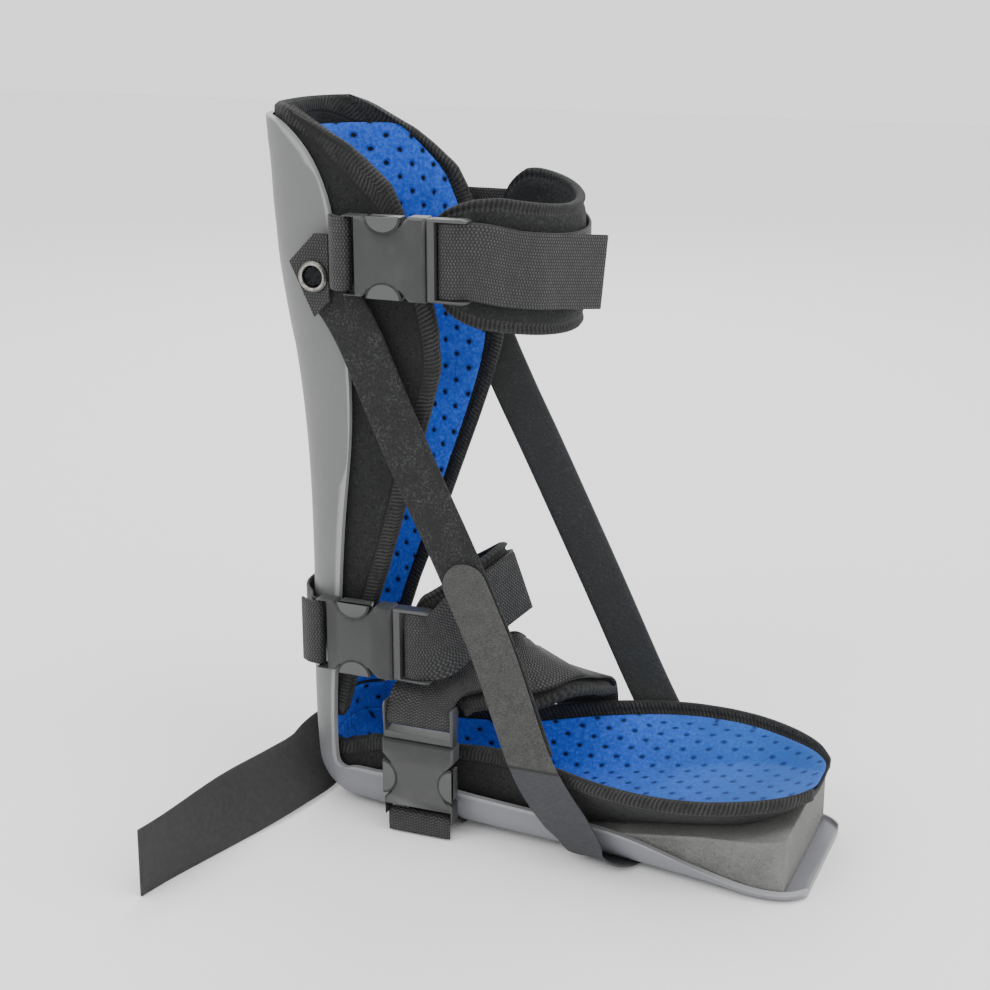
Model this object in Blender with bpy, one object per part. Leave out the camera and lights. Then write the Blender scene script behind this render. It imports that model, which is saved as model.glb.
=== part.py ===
# Night splint boot: an L-shaped moulded trough for calf and foot, with a padded liner,
# three buckled straps, a tension strap on each side, a foam wedge under the toes and
# a long strap at the heel.
# Metres, +Z up, +X towards the toes. The origin is on the floor under the heel, in the
# middle of the flat part of the sole.

import math
from collections import namedtuple

import bmesh
import bpy
from mathutils import Matrix, Vector

# Driving sizes of the shell
foot_length = 0.2915
shell_height = 0.386
calf_half = 0.051
calf_depth = 0.052
back_flare = 0.020
sole_half = 0.052
rim_depth = 0.028
heel_radius = 0.030
heel_back = -0.039
sole_arch = 0.0026
heel_rest_end = 0.155
toe_rest_start = 0.93
shell_wall = 0.0035
window_height = 0.060
window_width = 0.044
window_centre = 0.76

# Driving sizes of the liner and the wedge
liner_wall = 0.0045
lining_wall = 0.0016
flap_reach = 0.093
flap_top = 1.015
flap_foot = 0.14
tray_height = 0.0465
tray_half = 0.062
tray_heel_height = 0.038
tray_heel_reach = 0.014
tray_setback = 0.003
binding_radius = 0.0037
wedge_height = 0.0315
wedge_start = 0.42
wedge_end = 0.974

# Driving sizes of straps and buckles
webbing_width = 0.038
webbing_wall = 0.0016
pad_wall = 0.008
upper_pad_width = 0.066
mid_pad_width = 0.046
lower_pad_width = 0.052
buckle_length = 0.048
buckle_width = 0.042
buckle_wall = 0.0105
tongue_length = 0.0215
tension_width = 0.026
tension_wall = 0.002
hook_wall = 0.0014
eyelet_radius = 0.0085
rear_strap_reach = 0.165

# Clearances
gap = 0.0003
soft_gap = 0.0008
padding_gap = 0.0014
strap_gap = 0.001

upward = Vector((0.0, 0.0, 1.0))
forward = Vector((1.0, 0.0, 0.0))

# Calf of the shell: height as a share of shell_height, set back of its back line of
# back_flare, half width of calf_half, corner of that half width, wall of calf_depth
CalfRow = namedtuple("CalfRow", "height flare half corner depth")
calf_rows = [
    CalfRow(0.078, 0.00, 0.68, 0.70, 0.38),
    CalfRow(0.18, 0.10, 0.70, 0.74, 0.42),
    CalfRow(0.28, 0.05, 0.73, 0.76, 0.50),
    CalfRow(0.39, 0.00, 0.80, 0.78, 0.56),
    CalfRow(0.48, 0.00, 0.88, 0.80, 0.66),
    CalfRow(0.58, 0.08, 0.97, 0.82, 0.82),
    CalfRow(0.68, 0.30, 1.00, 0.84, 0.92),
    CalfRow(0.78, 0.66, 1.00, 0.86, 1.00),
    CalfRow(0.88, 0.88, 1.00, 0.86, 0.98),
    CalfRow(0.92, 0.91, 0.99, 0.86, 0.90),
    CalfRow(0.96, 0.96, 0.97, 0.86, 0.74),
    CalfRow(0.99, 0.99, 0.95, 0.86, 0.48),
    CalfRow(1.00, 1.00, 0.94, 0.86, 0.27),
    CalfRow(1.03, 1.05, 0.94, 0.86, 0.27),
]

# Front edge of the calf flaps: height as a share of shell_height, reach of flap_reach.
# The reach runs from the shell's outer back line.
FlapRow = namedtuple("FlapRow", "height reach")
flap_rows = [
    FlapRow(0.12, 0.25),
    FlapRow(0.21, 0.30),
    FlapRow(0.26, 0.36),
    FlapRow(0.34, 0.45),
    FlapRow(0.39, 0.53),
    FlapRow(0.45, 0.61),
    FlapRow(0.54, 0.74),
    FlapRow(0.63, 0.89),
    FlapRow(0.67, 0.96),
    FlapRow(0.72, 1.00),
    FlapRow(0.78, 1.00),
    FlapRow(0.83, 0.95),
    FlapRow(0.90, 0.86),
    FlapRow(0.93, 0.78),
    FlapRow(0.96, 0.62),
    FlapRow(0.98, 0.51),
    FlapRow(1.00, 0.38),
    FlapRow(1.015, 0.21),
]

# Sole of the shell: run from the heel's back as a share of foot_length, half width of
# sole_half, corner of that half width, side wall of rim_depth
SoleRow = namedtuple("SoleRow", "run half corner depth")
sole_rows = [
    SoleRow(0.11, 0.67, 0.62, 0.96),
    SoleRow(0.19, 0.68, 0.45, 0.90),
    SoleRow(0.33, 0.73, 0.38, 0.76),
    SoleRow(0.48, 0.80, 0.33, 0.72),
    SoleRow(0.64, 0.86, 0.28, 0.66),
    SoleRow(0.72, 0.92, 0.24, 0.53),
    SoleRow(0.78, 0.96, 0.20, 0.38),
    SoleRow(0.85, 1.00, 0.17, 0.25),
    SoleRow(0.91, 1.02, 0.15, 0.20),
    SoleRow(0.96, 0.99, 0.15, 0.18),
    SoleRow(0.985, 0.92, 0.16, 0.18),
    SoleRow(1.00, 0.80, 0.18, 0.18),
]

# Foot tray of the liner: run as above, base half width of sole_half, rim half width of
# tray_half, rim height of tray_height, rise of the base towards the rim near the toes;
# corner is a share of the base half width
TrayRow = namedtuple("TrayRow", "run half corner rim_half rim_height rise")
tray_rows = [
    TrayRow(0.13, 0.56, 0.60, 0.48, 0.83, 0.0),
    TrayRow(0.20, 0.57, 0.50, 0.49, 0.86, 0.0),
    TrayRow(0.30, 0.60, 0.45, 0.52, 0.90, 0.0),
    TrayRow(0.39, 0.60, 0.42, 0.52, 0.95, 0.0),
    TrayRow(0.49, 0.67, 0.38, 0.71, 1.00, 0.0),
    TrayRow(0.575, 0.70, 0.35, 0.85, 1.00, 0.0),
    TrayRow(0.66, 0.74, 0.33, 0.97, 1.00, 0.0),
    TrayRow(0.745, 0.78, 0.30, 1.00, 1.00, 0.0),
    TrayRow(0.83, 0.83, 0.30, 0.94, 1.00, 0.0),
    TrayRow(0.90, 0.79, 0.32, 0.80, 1.00, 0.10),
    TrayRow(0.95, 0.62, 0.40, 0.63, 1.00, 0.30),
    TrayRow(0.985, 0.42, 0.50, 0.43, 1.00, 0.60),
    TrayRow(1.00, 0.28, 0.60, 0.28, 1.00, 0.85),
]


# Scene and materials

def clear_scene():
    for old in list(bpy.data.objects):
        bpy.data.objects.remove(old, do_unlink=True)


def make_material(name, colour, roughness, metallic=0.0):
    material = bpy.data.materials.new(name)
    material.use_nodes = True
    shader = material.node_tree.nodes["Principled BSDF"]
    shader.inputs["Base Color"].default_value = (*colour, 1.0)
    shader.inputs["Roughness"].default_value = roughness
    shader.inputs["Metallic"].default_value = metallic
    material.diffuse_color = (*colour, 1.0)
    return material


def add_object(name, bm, colour, roughness, metallic=0.0, smooth=True):
    bmesh.ops.remove_doubles(bm, verts=bm.verts, dist=0.000002)
    bmesh.ops.recalc_face_normals(bm, faces=bm.faces)
    mesh = bpy.data.meshes.new(name)
    bm.to_mesh(mesh)
    bm.free()
    if smooth:
        mesh.shade_smooth()
        mesh.set_sharp_from_angle(angle=math.radians(40.0))
    piece = bpy.data.objects.new(name, mesh)
    piece.data.materials.append(make_material(name + "_material", colour, roughness, metallic))
    bpy.context.scene.collection.objects.link(piece)
    return piece


def cut_with(piece, cutter):
    cutter.hide_render = True
    cutter.display_type = "WIRE"
    cut = piece.modifiers.new("cut_" + cutter.name, "BOOLEAN")
    cut.operation = "DIFFERENCE"
    cut.solver = "EXACT"
    cut.object = cutter


# Smooth values between the rows of a table

def value_at(rows, column, place):
    keys = [row[0] for row in rows]
    values = [getattr(row, column) for row in rows]
    if place <= keys[0]:
        return values[0]
    if place >= keys[-1]:
        return values[-1]
    i = max(k for k in range(len(keys) - 1) if keys[k] <= place)

    def slope(k):
        low = max(k - 1, 0)
        high = min(k + 1, len(keys) - 1)
        return (values[high] - values[low]) / (keys[high] - keys[low])

    span = keys[i + 1] - keys[i]
    t = (place - keys[i]) / span
    rise = values[i + 1] - values[i]
    first = limited(slope(i) * span, rise)
    last = limited(slope(i + 1) * span, rise)
    a = 2 * t ** 3 - 3 * t ** 2 + 1
    b = t ** 3 - 2 * t ** 2 + t
    c = -2 * t ** 3 + 3 * t ** 2
    d = t ** 3 - t ** 2
    return a * values[i] + b * first + c * values[i + 1] + d * last


def limited(tangent, rise):
    if tangent * rise <= 0.0:
        return 0.0
    return math.copysign(min(abs(tangent), 3.0 * abs(rise)), rise)


def smooth_route(points, count):
    # Points spread evenly along a smooth curve through the given ones
    points = [Vector(p) for p in points]
    dense = []
    steps = 24
    for i in range(len(points) - 1):
        p0 = points[i - 1] if i > 0 else 2 * points[0] - points[1]
        p1 = points[i]
        p2 = points[i + 1]
        p3 = points[i + 2] if i + 2 < len(points) else 2 * points[-1] - points[-2]
        k1 = (p1 - p0).length ** 0.5 + 1e-9
        k2 = (p2 - p1).length ** 0.5 + 1e-9
        k3 = (p3 - p2).length ** 0.5 + 1e-9
        m1 = k2 * ((p1 - p0) / k1 - (p2 - p0) / (k1 + k2) + (p2 - p1) / k2)
        m2 = k2 * ((p2 - p1) / k2 - (p3 - p1) / (k2 + k3) + (p3 - p2) / k3)
        for s in range(steps):
            t = s / steps
            a = 2 * t ** 3 - 3 * t ** 2 + 1
            b = t ** 3 - 2 * t ** 2 + t
            c = -2 * t ** 3 + 3 * t ** 2
            d = t ** 3 - t ** 2
            dense.append(a * p1 + b * m1 + c * p2 + d * m2)
    dense.append(points[-1])
    return spread(dense, count)


def spread(dense, count):
    lengths = [0.0]
    for a, b in zip(dense, dense[1:]):
        lengths.append(lengths[-1] + (b - a).length)
    result = []
    k = 0
    for i in range(count):
        target = lengths[-1] * i / (count - 1)
        while k < len(dense) - 2 and lengths[k + 1] < target:
            k += 1
        step = max(lengths[k + 1] - lengths[k], 1e-12)
        t = min(max((target - lengths[k]) / step, 0.0), 1.0)
        result.append(dense[k].lerp(dense[k + 1], t))
    return result


# Trough sections: a flat base, a round corner and a wall on each side

bead_steps = 5

Trough = namedtuple("Trough", "base inward flat corner turn wall")


def heel_point(run, height):
    return Vector((heel_back + run, 0.0, height))


def rounded_trough(base, inward, half, corner, depth):
    # The wall stands straight above the corner, or the corner is cut off at the depth
    flat = half - corner
    if depth <= corner:
        return Trough(base, inward, flat, corner, math.acos(1.0 - depth / corner), 0.0)
    return Trough(base, inward, flat, corner, math.pi / 2, depth - corner)


def splayed_trough(base, inward, half, corner, rim_half, depth):
    # The wall leans so that its upper edge is at the rim's half width
    flat = half - corner
    across = rim_half - flat
    up = depth - corner
    reach = math.hypot(across, up)
    wall = math.sqrt(max(reach ** 2 - corner ** 2, 0.0))
    turn = math.atan2(up, across) - math.acos(min(corner / reach, 1.0)) + math.pi / 2
    return Trough(base, inward, flat, corner, turn, wall)


def trough_line(trough, offset, flat_steps=1, arc_steps=5, wall_steps=1):
    # Points from the rim on the near side (-Y), down and up to the rim on the far side
    radius = trough.corner - offset
    turn = trough.turn
    side = []
    for i in range(flat_steps):
        side.append((trough.flat * i / flat_steps, offset))
    for i in range(arc_steps + 1):
        angle = turn * i / arc_steps
        side.append((trough.flat + radius * math.sin(angle), trough.corner - radius * math.cos(angle)))
    last = side[-1]
    for i in range(1, wall_steps + 1):
        along = trough.wall * i / wall_steps
        side.append((last[0] + along * math.cos(turn), last[1] + along * math.sin(turn)))
    line = [(-across, depth) for across, depth in reversed(side[1:])] + side
    return [trough.base + trough.inward * depth + Vector((0.0, across, 0.0)) for across, depth in line]


def trough_sheet(name, troughs, outer, inner, colour, roughness, arc_steps=4):
    # A sheet of the thickness inner - outer, lofted through the troughs
    bm = bmesh.new()
    rows = []
    for trough in troughs:
        outside = [bm.verts.new(p) for p in trough_line(trough, outer, 1, arc_steps)]
        inside = [bm.verts.new(p) for p in trough_line(trough, inner, 1, arc_steps)]
        rows.append(outside + inside[::-1])
    join_rows(bm, rows)
    for row in (rows[0], rows[-1]):
        close_row(bm, row, len(row) // 2, 0)
    return add_object(name, bm, colour, roughness)


def bound_sheet(name, troughs, walls, colour, roughness, arc_steps=4):
    # The same with a round bead along both edges; walls has the outer and the inner
    # offset for each trough
    bm = bmesh.new()
    rows = []
    middle = (walls[-1][0] + walls[-1][1] + gap + lining_wall) / 2
    for trough, (outer, inner) in zip(troughs, walls):
        outside = trough_line(trough, outer, 1, arc_steps)
        inside = trough_line(trough, inner, 1, arc_steps)
        centre = trough_line(trough, middle, 1, arc_steps)
        near = edge_bead(centre[0], centre[0] - centre[1], outside[0] - inside[0])
        far = edge_bead(centre[-1], centre[-1] - centre[-2], outside[-1] - inside[-1])
        points = outside + far + inside[::-1] + near[::-1]
        rows.append([bm.verts.new(p) for p in points])
    join_rows(bm, rows)
    for row in (rows[0], rows[-1]):
        half = 2 * arc_steps + 5
        bead = bead_steps + 1
        faces = row[:half] + row[half + bead:2 * half + bead]
        close_row(bm, faces, half, 0)
        bm.faces.new([row[half - 1]] + row[half:half + bead] + [row[half + bead]])
        bm.faces.new([row[2 * half + bead - 1]] + row[2 * half + bead:] + [row[0]])
    return add_object(name, bm, colour, roughness)


def edge_bead(middle, ahead, out):
    # Points of the bead from the outer side over the edge to the inner side
    ahead = ahead.normalized()
    out = (out - ahead * out.dot(ahead)).normalized()
    centre = middle + ahead * binding_radius * 0.8
    points = []
    for i in range(bead_steps + 1):
        angle = math.radians(-25.0 + 230.0 * i / bead_steps)
        points.append(centre + binding_radius * (out * math.cos(angle) + ahead * math.sin(angle)))
    return points


def join_rows(bm, rows):
    # Each quad is split from the outer side of its first row, so that layers stay parallel
    for a, b in zip(rows, rows[1:]):
        for i in range(len(a)):
            j = (i + 1) % len(a)
            corners = unique_corners([a[i], a[j], b[j], b[i]])
            if len(corners) == 4 and abs(a[i].co.y) > abs(a[j].co.y):
                bm.faces.new([a[i], a[j], b[j]])
                bm.faces.new([a[i], b[j], b[i]])
            elif len(corners) == 4:
                bm.faces.new([a[i], a[j], b[i]])
                bm.faces.new([a[j], b[j], b[i]])
            elif len(corners) == 3:
                bm.faces.new(corners)


def close_row(bm, row, half, first):
    for i in range(first, half - 1):
        corners = unique_corners([row[i], row[i + 1], row[-2 - i], row[-1 - i]])
        if len(corners) > 2:
            bm.faces.new(corners)


def unique_corners(verts):
    kept = []
    for vert in verts:
        if all((vert.co - other.co).length > 0.000004 for other in kept):
            kept.append(vert)
    return kept


def calf_setback(height):
    return -back_flare * value_at(calf_rows, "flare", height)


def calf_outer_half(height):
    return calf_half * value_at(calf_rows, "half", height)


def calf_trough(height, depth):
    half = calf_outer_half(height)
    corner = half * value_at(calf_rows, "corner", height)
    base = heel_point(calf_setback(height), shell_height * height)
    return rounded_trough(base, Vector((1.0, 0.0, 0.0)), half, corner, depth)


def sole_half_at(run):
    return sole_half * value_at(sole_rows, "half", run)


def sole_trough(run):
    half = sole_half_at(run)
    corner = half * value_at(sole_rows, "corner", run)
    depth = rim_depth * value_at(sole_rows, "depth", run)
    base = heel_point(foot_length * run, sole_lift(run))
    return rounded_trough(base, Vector((0.0, 0.0, 1.0)), half, corner, depth)


def eased(place, start, end):
    t = min(max((place - start) / (end - start), 0.0), 1.0)
    return t * t * (3.0 - 2.0 * t)


def sole_lift(run):
    # The sole rests on the heel and the toe edge, and is lifted between them
    return sole_arch * (eased(run, heel_rest_end, heel_rest_end + 0.05) - eased(run, toe_rest_start - 0.12, toe_rest_start))


def heel_arc(turn):
    # A point of the shell's outer line round the heel, and the way inwards there
    bottom = heel_point(heel_radius, heel_radius)
    inward = Vector((math.cos(turn), 0.0, math.sin(turn)))
    return bottom - inward * heel_radius, inward


heel_turns = [math.radians(15.0 * i) for i in range(1, 6)]
shell_heights = [1.0, 0.99, 0.97, 0.95, 0.92, 0.89, 0.85, 0.80, 0.74, 0.68, 0.62, 0.56, 0.50, 0.44,
                 0.38, 0.31, 0.22, 0.14, 0.078]
sole_runs = [0.11, 0.155, 0.18, 0.205, 0.26, 0.33, 0.40, 0.48, 0.56, 0.64, 0.70, 0.745, 0.78, 0.815, 0.85, 0.88, 0.91,
             0.94, 0.965, 0.985, 1.00]


def shell_troughs():
    troughs = []
    for height in shell_heights:
        depth = calf_depth * value_at(calf_rows, "depth", height)
        troughs.append(calf_trough(height, depth))
    last = troughs[-1]
    first = sole_trough(sole_runs[0])
    for turn in heel_turns:
        share = turn / (math.pi / 2)
        base, inward = heel_arc(turn)
        half = calf_outer_half(shell_heights[-1]) * (1 - share) + sole_half_at(sole_runs[0]) * share
        corner = last.corner * (1 - share) + first.corner * share
        low = calf_depth * value_at(calf_rows, "depth", shell_heights[-1])
        high = rim_depth * value_at(sole_rows, "depth", sole_runs[0])
        depth = low * (1 - share) + high * share
        troughs.append(rounded_trough(base, inward, half, corner, depth))
    for run in sole_runs:
        troughs.append(sole_trough(run))
    return troughs


# Colours, as red, green and blue shares, with a roughness

grey_plastic = ((0.30, 0.31, 0.31), 0.5)
black_plastic = ((0.025, 0.026, 0.027), 0.45)
black_cloth = ((0.015, 0.016, 0.016), 0.9)
dark_webbing = ((0.035, 0.036, 0.037), 0.85)
blue_cloth = ((0.02, 0.10, 0.42), 0.9)
grey_foam = ((0.16, 0.17, 0.17), 0.95)

liner_outer = shell_wall + padding_gap
liner_inner = liner_outer + liner_wall
lining_outer = liner_inner + gap
lining_inner = lining_outer + lining_wall
tray_lining_outer = liner_wall + soft_gap
tray_lining_inner = tray_lining_outer + lining_wall


def build_shell():
    shell = trough_sheet("shell", shell_troughs(), 0.0, shell_wall, *grey_plastic)
    bm = bmesh.new()
    centre = heel_point(calf_setback(window_centre), shell_height * window_centre)
    size = Matrix.Diagonal((calf_depth, window_width, window_height, 1.0))
    bmesh.ops.create_cube(bm, size=1.0, matrix=Matrix.Translation(centre) @ size)
    upright = [e for e in bm.edges if abs(e.verts[0].co.x - e.verts[1].co.x) > calf_depth / 2]
    bmesh.ops.bevel(bm, geom=upright, offset=window_width * 0.42, segments=4, profile=0.5, affect="EDGES")
    cutter = add_object("window_cutter", bm, *grey_plastic)
    cut_with(shell, cutter)


# Bead along the top of the flaps: way down and half thickness, as shares of its radius
top_bead = ((0.0, 0.35), (0.35, 0.8), (1.0, 1.0), (1.7, 0.9))


def flap_trough(height):
    return calf_trough(height, flap_reach * value_at(flap_rows, "reach", height))


def flap_troughs():
    return [flap_trough(h) for h in shell_heights if flap_foot <= h < 0.98]


def wedge_top(run):
    share = min(max((run - wedge_start) / (wedge_end - wedge_start), 0.0), 1.0)
    return shell_wall + gap + wedge_height * share


def tray_trough(run):
    row = {c: value_at(tray_rows, c, run) for c in TrayRow._fields[1:]}
    x = (foot_length - tray_setback) * run
    over = x / foot_length
    low = sole_lift(over) + max(wedge_top(over) + gap, shell_wall + soft_gap)
    high = tray_height * row["rim_height"]
    low = low + (high - low) * row["rise"]
    half = sole_half * row["half"]
    base = heel_point(x, low)
    return splayed_trough(base, Vector((0.0, 0.0, 1.0)), half, half * row["corner"],
                          tray_half * row["rim_half"], high - low)


def tray_troughs():
    troughs = []
    steps = 7
    first = tray_trough(tray_rows[0].run)
    shell_heel = calf_trough(shell_heights[-1], calf_depth)
    for i in range(steps):
        share = i / steps
        if i == 0:
            base = heel_point(calf_setback(0.1), tray_heel_height)
            inward = Vector((1.0, 0.0, 0.0))
        else:
            base, inward = heel_arc((i - 1) / (steps - 1) * math.pi / 2)
        base = base + inward * (shell_wall + soft_gap)
        high = tray_heel_height * (1 - share) + tray_heel_height * share
        rim_x = heel_back + liner_outer + tray_heel_reach + share * 0.024
        reach = Vector((rim_x, 0.0, high)) - base
        corner = (shell_heel.corner - liner_outer) * (1 - share) + first.corner * share
        half = (calf_outer_half(0.1) - liner_outer - 0.0018) * (1 - share) + (first.flat + first.corner) * share
        troughs.append(splayed_trough(base, reach.normalized(), half, corner, half, reach.length))
    runs = [0.13, 0.165, 0.21, 0.31, 0.40, 0.49, 0.56, 0.63, 0.70, 0.77, 0.83, 0.875, 0.915, 0.95, 0.975, 1.00]
    return troughs + [tray_trough(run) for run in runs]


def shortened(trough, amount):
    if trough.wall > amount:
        return trough._replace(wall=trough.wall - amount)
    return trough._replace(turn=trough.turn - amount / trough.corner)


def build_liner():
    flaps = flap_troughs()
    middle = (liner_outer + lining_inner) / 2
    edge = []
    walls = []
    for down, share in top_bead:
        edge.append(flap_trough(flap_top - binding_radius * down / shell_height))
        walls.append((middle - binding_radius * share, middle + binding_radius * share))
    plain = (liner_outer, liner_inner)
    bound_sheet("liner_calf", edge + flaps, walls + [plain] * len(flaps), *black_cloth)
    low = flaps[0]._replace(base=flaps[0].base - upward * 0.0006)
    trough_sheet("lining_calf", [shortened(t, gap) for t in [low] + flaps[1:]], lining_outer, lining_inner, *blue_cloth)
    tray = tray_troughs()
    bound_sheet("liner_foot", tray, [(0.0, liner_wall)] * len(tray), *black_cloth)
    trough_sheet("lining_foot", [shortened(t, 0.0015) for t in tray], tray_lining_outer, tray_lining_inner, *blue_cloth)


def build_wedge():
    bm = bmesh.new()
    runs = [run for run in sole_runs if wedge_start + 0.03 < run < wedge_end]
    loops = []
    for run in runs:
        trough = sole_trough(run)
        half = trough.flat + trough.corner
        block = rounded_trough(trough.base, trough.inward, half, trough.corner, max(wedge_top(run), trough.corner))
        seat = shell_wall + gap + 0.0001
        if wedge_top(run) < trough.corner:
            level = (trough.corner - wedge_top(run)) / (trough.corner - seat)
            block = block._replace(turn=math.acos(level), wall=0.0)
        line = trough_line(block, seat, 1, 4)
        top = trough.base.z + wedge_top(run)
        loops.append([bm.verts.new(Vector((p.x, p.y, min(p.z, top)))) for p in line])
    for a, b in zip(loops, loops[1:]):
        for i in range(len(a)):
            j = (i + 1) % len(a)
            bm.faces.new([a[i], a[j], b[j], b[i]])
    bm.faces.new(loops[0])
    bm.faces.new(loops[-1][::-1])
    bmesh.ops.dissolve_degenerate(bm, edges=bm.edges, dist=0.00002)
    add_object("foam_wedge", bm, *grey_foam, smooth=False)


# Bands: a flat section swept along a line of points

def band(name, line, across, width, wall, colour, roughness, soft=False, widths=None):
    # across is one direction for the whole band, or one for each point of the line
    bm = bmesh.new()
    count = len(line)
    directions = across if isinstance(across, list) else [across] * count
    loops = []
    for i, point in enumerate(line):
        ahead = line[min(i + 1, count - 1)]
        behind = line[max(i - 1, 0)]
        tangent = (ahead - behind).normalized()
        side = directions[i].normalized()
        out = tangent.cross(side).normalized()
        half = (widths[i] if widths else width) / 2
        thick = wall / 2
        if soft:
            section = [(-half, -thick * 0.35), (-half + thick, -thick), (half - thick, -thick),
                       (half, -thick * 0.35), (half, thick * 0.35), (half - thick, thick),
                       (-half + thick, thick), (-half, thick * 0.35)]
        else:
            section = [(-half, -thick), (half, -thick), (half, thick), (-half, thick)]
        loops.append([bm.verts.new(point + side * a + out * b) for a, b in section])
    for a, b in zip(loops, loops[1:]):
        for i in range(len(a)):
            j = (i + 1) % len(a)
            bm.faces.new([a[i], a[j], b[j], b[i]])
    bm.faces.new(loops[0][::-1])
    bm.faces.new(loops[-1])
    return add_object(name, bm, colour, roughness)


def turn_round(bar, from_side, to_side, count=7):
    # Points of a half turn round a bar, from one side over the front to the other
    middle = (from_side + to_side) / 2
    out = (bar - middle).normalized() * (from_side - to_side).length / 2
    radius_a = from_side - middle
    return [middle + radius_a * math.cos(math.pi * i / (count - 1)) + out * math.sin(math.pi * i / (count - 1))
            for i in range(count)]


# Side-release buckles. Local u runs from the anchor to the tongue, v across, w outwards.

bar_core = 0.0011
bar_centre = 0.0022
tongue_bar = 0.059
loop_radius = bar_core * 1.45 + webbing_wall / 2 + gap
anchor_leave = Vector((-0.0045, 0.0004, 0.0))


def local_box(bm, low, high, frame, bevel=0.0):
    size = Vector(high) - Vector(low)
    centre = (Vector(high) + Vector(low)) / 2
    made = bmesh.ops.create_cube(bm, size=1.0, matrix=Matrix.Translation(centre) @ Matrix.Diagonal((*size, 1.0)))
    verts = made["verts"]
    if bevel > 0.0:
        edges = list({e for v in verts for e in v.link_edges})
        result = bmesh.ops.bevel(bm, geom=edges, offset=bevel, segments=1, profile=0.5, affect="EDGES")
        verts = list({v for f in result["faces"] for v in f.verts})
    bmesh.ops.transform(bm, matrix=frame, verts=verts)


def outline_block(bm, outline, low, high, frame, bevel=0.0):
    # An outline in u and v, raised from w = low to w = high
    base = [bm.verts.new(Vector((u, v, low))) for u, v in outline]
    face = bm.faces.new(base)
    raised = bmesh.ops.extrude_face_region(bm, geom=[face])
    top = [g for g in raised["geom"] if isinstance(g, bmesh.types.BMVert)]
    bmesh.ops.translate(bm, vec=Vector((0.0, 0.0, high - low)), verts=top)
    verts = set(base + top)
    if bevel > 0.0:
        rims = [e for e in bm.edges if e.verts[0] in verts and abs(e.verts[0].co.z - e.verts[1].co.z) < 1e-7]
        bmesh.ops.bevel(bm, geom=rims, offset=bevel, segments=1, profile=0.5, affect="EDGES")
        verts = set(bm.verts)
    bmesh.ops.transform(bm, matrix=frame, verts=list(verts))


def mirrored(half_outline):
    return half_outline + [(u, -v) for u, v in reversed(half_outline)]


def build_buckle(prefix, frame):
    half = buckle_width / 2
    thick = buckle_wall / 2
    end = buckle_length
    notch = 0.0045
    bm = bmesh.new()
    bar_start = bar_centre - bar_core
    bar_end = bar_centre + bar_core
    outline = mirrored([(bar_start, half - 0.003), (0.003, half - 0.001), (0.013, half - 0.001), (0.017, half - notch),
                        (0.034, half - notch), (0.039, half), (end, half)])
    outline_block(bm, outline, -thick, thick, frame, 0.0012)
    body = add_object(prefix + "_buckle", bm, *black_plastic)
    slot = bmesh.new()
    local_box(slot, (bar_end, -half + 0.0015, -thick * 2), (bar_end + 0.0065, half - 0.0015, thick * 2), frame)
    cut_with(body, add_object(prefix + "_slot_cutter", slot, *black_plastic))
    inside = bmesh.new()
    local_box(inside, (0.016, -half + 0.0072, -thick + 0.0022), (end + 0.002, half - 0.0072, thick - 0.0022), frame)
    cut_with(body, add_object(prefix + "_inside_cutter", inside, *black_plastic))
    for k, (low, high) in enumerate(((-thick * 2, -bar_core), (bar_core, thick * 2))):
        thin = bmesh.new()
        local_box(thin, (-0.002, -half + 0.0015, low), (bar_end + 0.001, half - 0.0015, high), frame)
        cut_with(body, add_object("%s_thin_%d_cutter" % (prefix, k), thin, *black_plastic))
    mouth = bmesh.new()
    local_box(mouth, (0.0195, -half, -thick + 0.0026), (0.0335, half, thick - 0.0026), frame)
    cut_with(body, add_object(prefix + "_window_cutter", mouth, *black_plastic))
    build_tongue(prefix, frame)


def build_tongue(prefix, frame):
    half = buckle_width / 2
    thick = buckle_wall / 2
    start = buckle_length + gap
    end = buckle_length + tongue_length
    arm = half - 0.0076
    bm = bmesh.new()
    outline_block(bm, mirrored([(start, half - 0.0005), (end - 0.003, half), (end, half - 0.0008)]),
                  -thick + 0.0006, thick - 0.0006, frame, 0.001)
    tongue = add_object(prefix + "_tongue", bm, *black_plastic)
    prongs = bmesh.new()
    outline_block(prongs, mirrored([(0.0205, half - 0.0060), (0.024, half - 0.0045), (0.0315, half - 0.0050),
                                    (0.0328, arm), (start + 0.002, arm)]), -thick + 0.0030, thick - 0.0030, frame)
    joined = add_object(prefix + "_prong_shape", prongs, *black_plastic)
    joined.hide_render = True
    joined.display_type = "WIRE"
    union = tongue.modifiers.new("prongs", "BOOLEAN")
    union.operation = "UNION"
    union.solver = "EXACT"
    union.object = joined
    gap_shape = bmesh.new()
    local_box(gap_shape, (0.0, -arm + 0.0045, -thick * 2), (start - 0.0015, arm - 0.0045, thick * 2), frame)
    cut_with(tongue, add_object(prefix + "_prong_gap_cutter", gap_shape, *black_plastic))
    rails = half - 0.0018
    for k, (low, high) in enumerate(((start + 0.0045, tongue_bar - bar_core), (tongue_bar + bar_core, end + 0.002))):
        opening = bmesh.new()
        local_box(opening, (low, -rails, -thick * 2), (high, rails, thick * 2), frame)
        cut_with(tongue, add_object("%s_opening_%d_cutter" % (prefix, k), opening, *black_plastic))
    for k, (low, high) in enumerate(((-thick * 2, -bar_core), (bar_core, thick * 2))):
        thin = bmesh.new()
        local_box(thin, (tongue_bar - bar_core * 1.2, -rails, low), (tongue_bar + bar_core * 1.2, rails, high), frame)
        cut_with(tongue, add_object("%s_bar_%d_cutter" % (prefix, k), thin, *black_plastic))


def frame_of(origin, along, out):
    along = along.normalized()
    out = (out - along * out.dot(along)).normalized()
    across = out.cross(along)
    rotation = Matrix((along, across, out)).transposed().to_4x4()
    return Matrix.Translation(origin) @ rotation


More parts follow.
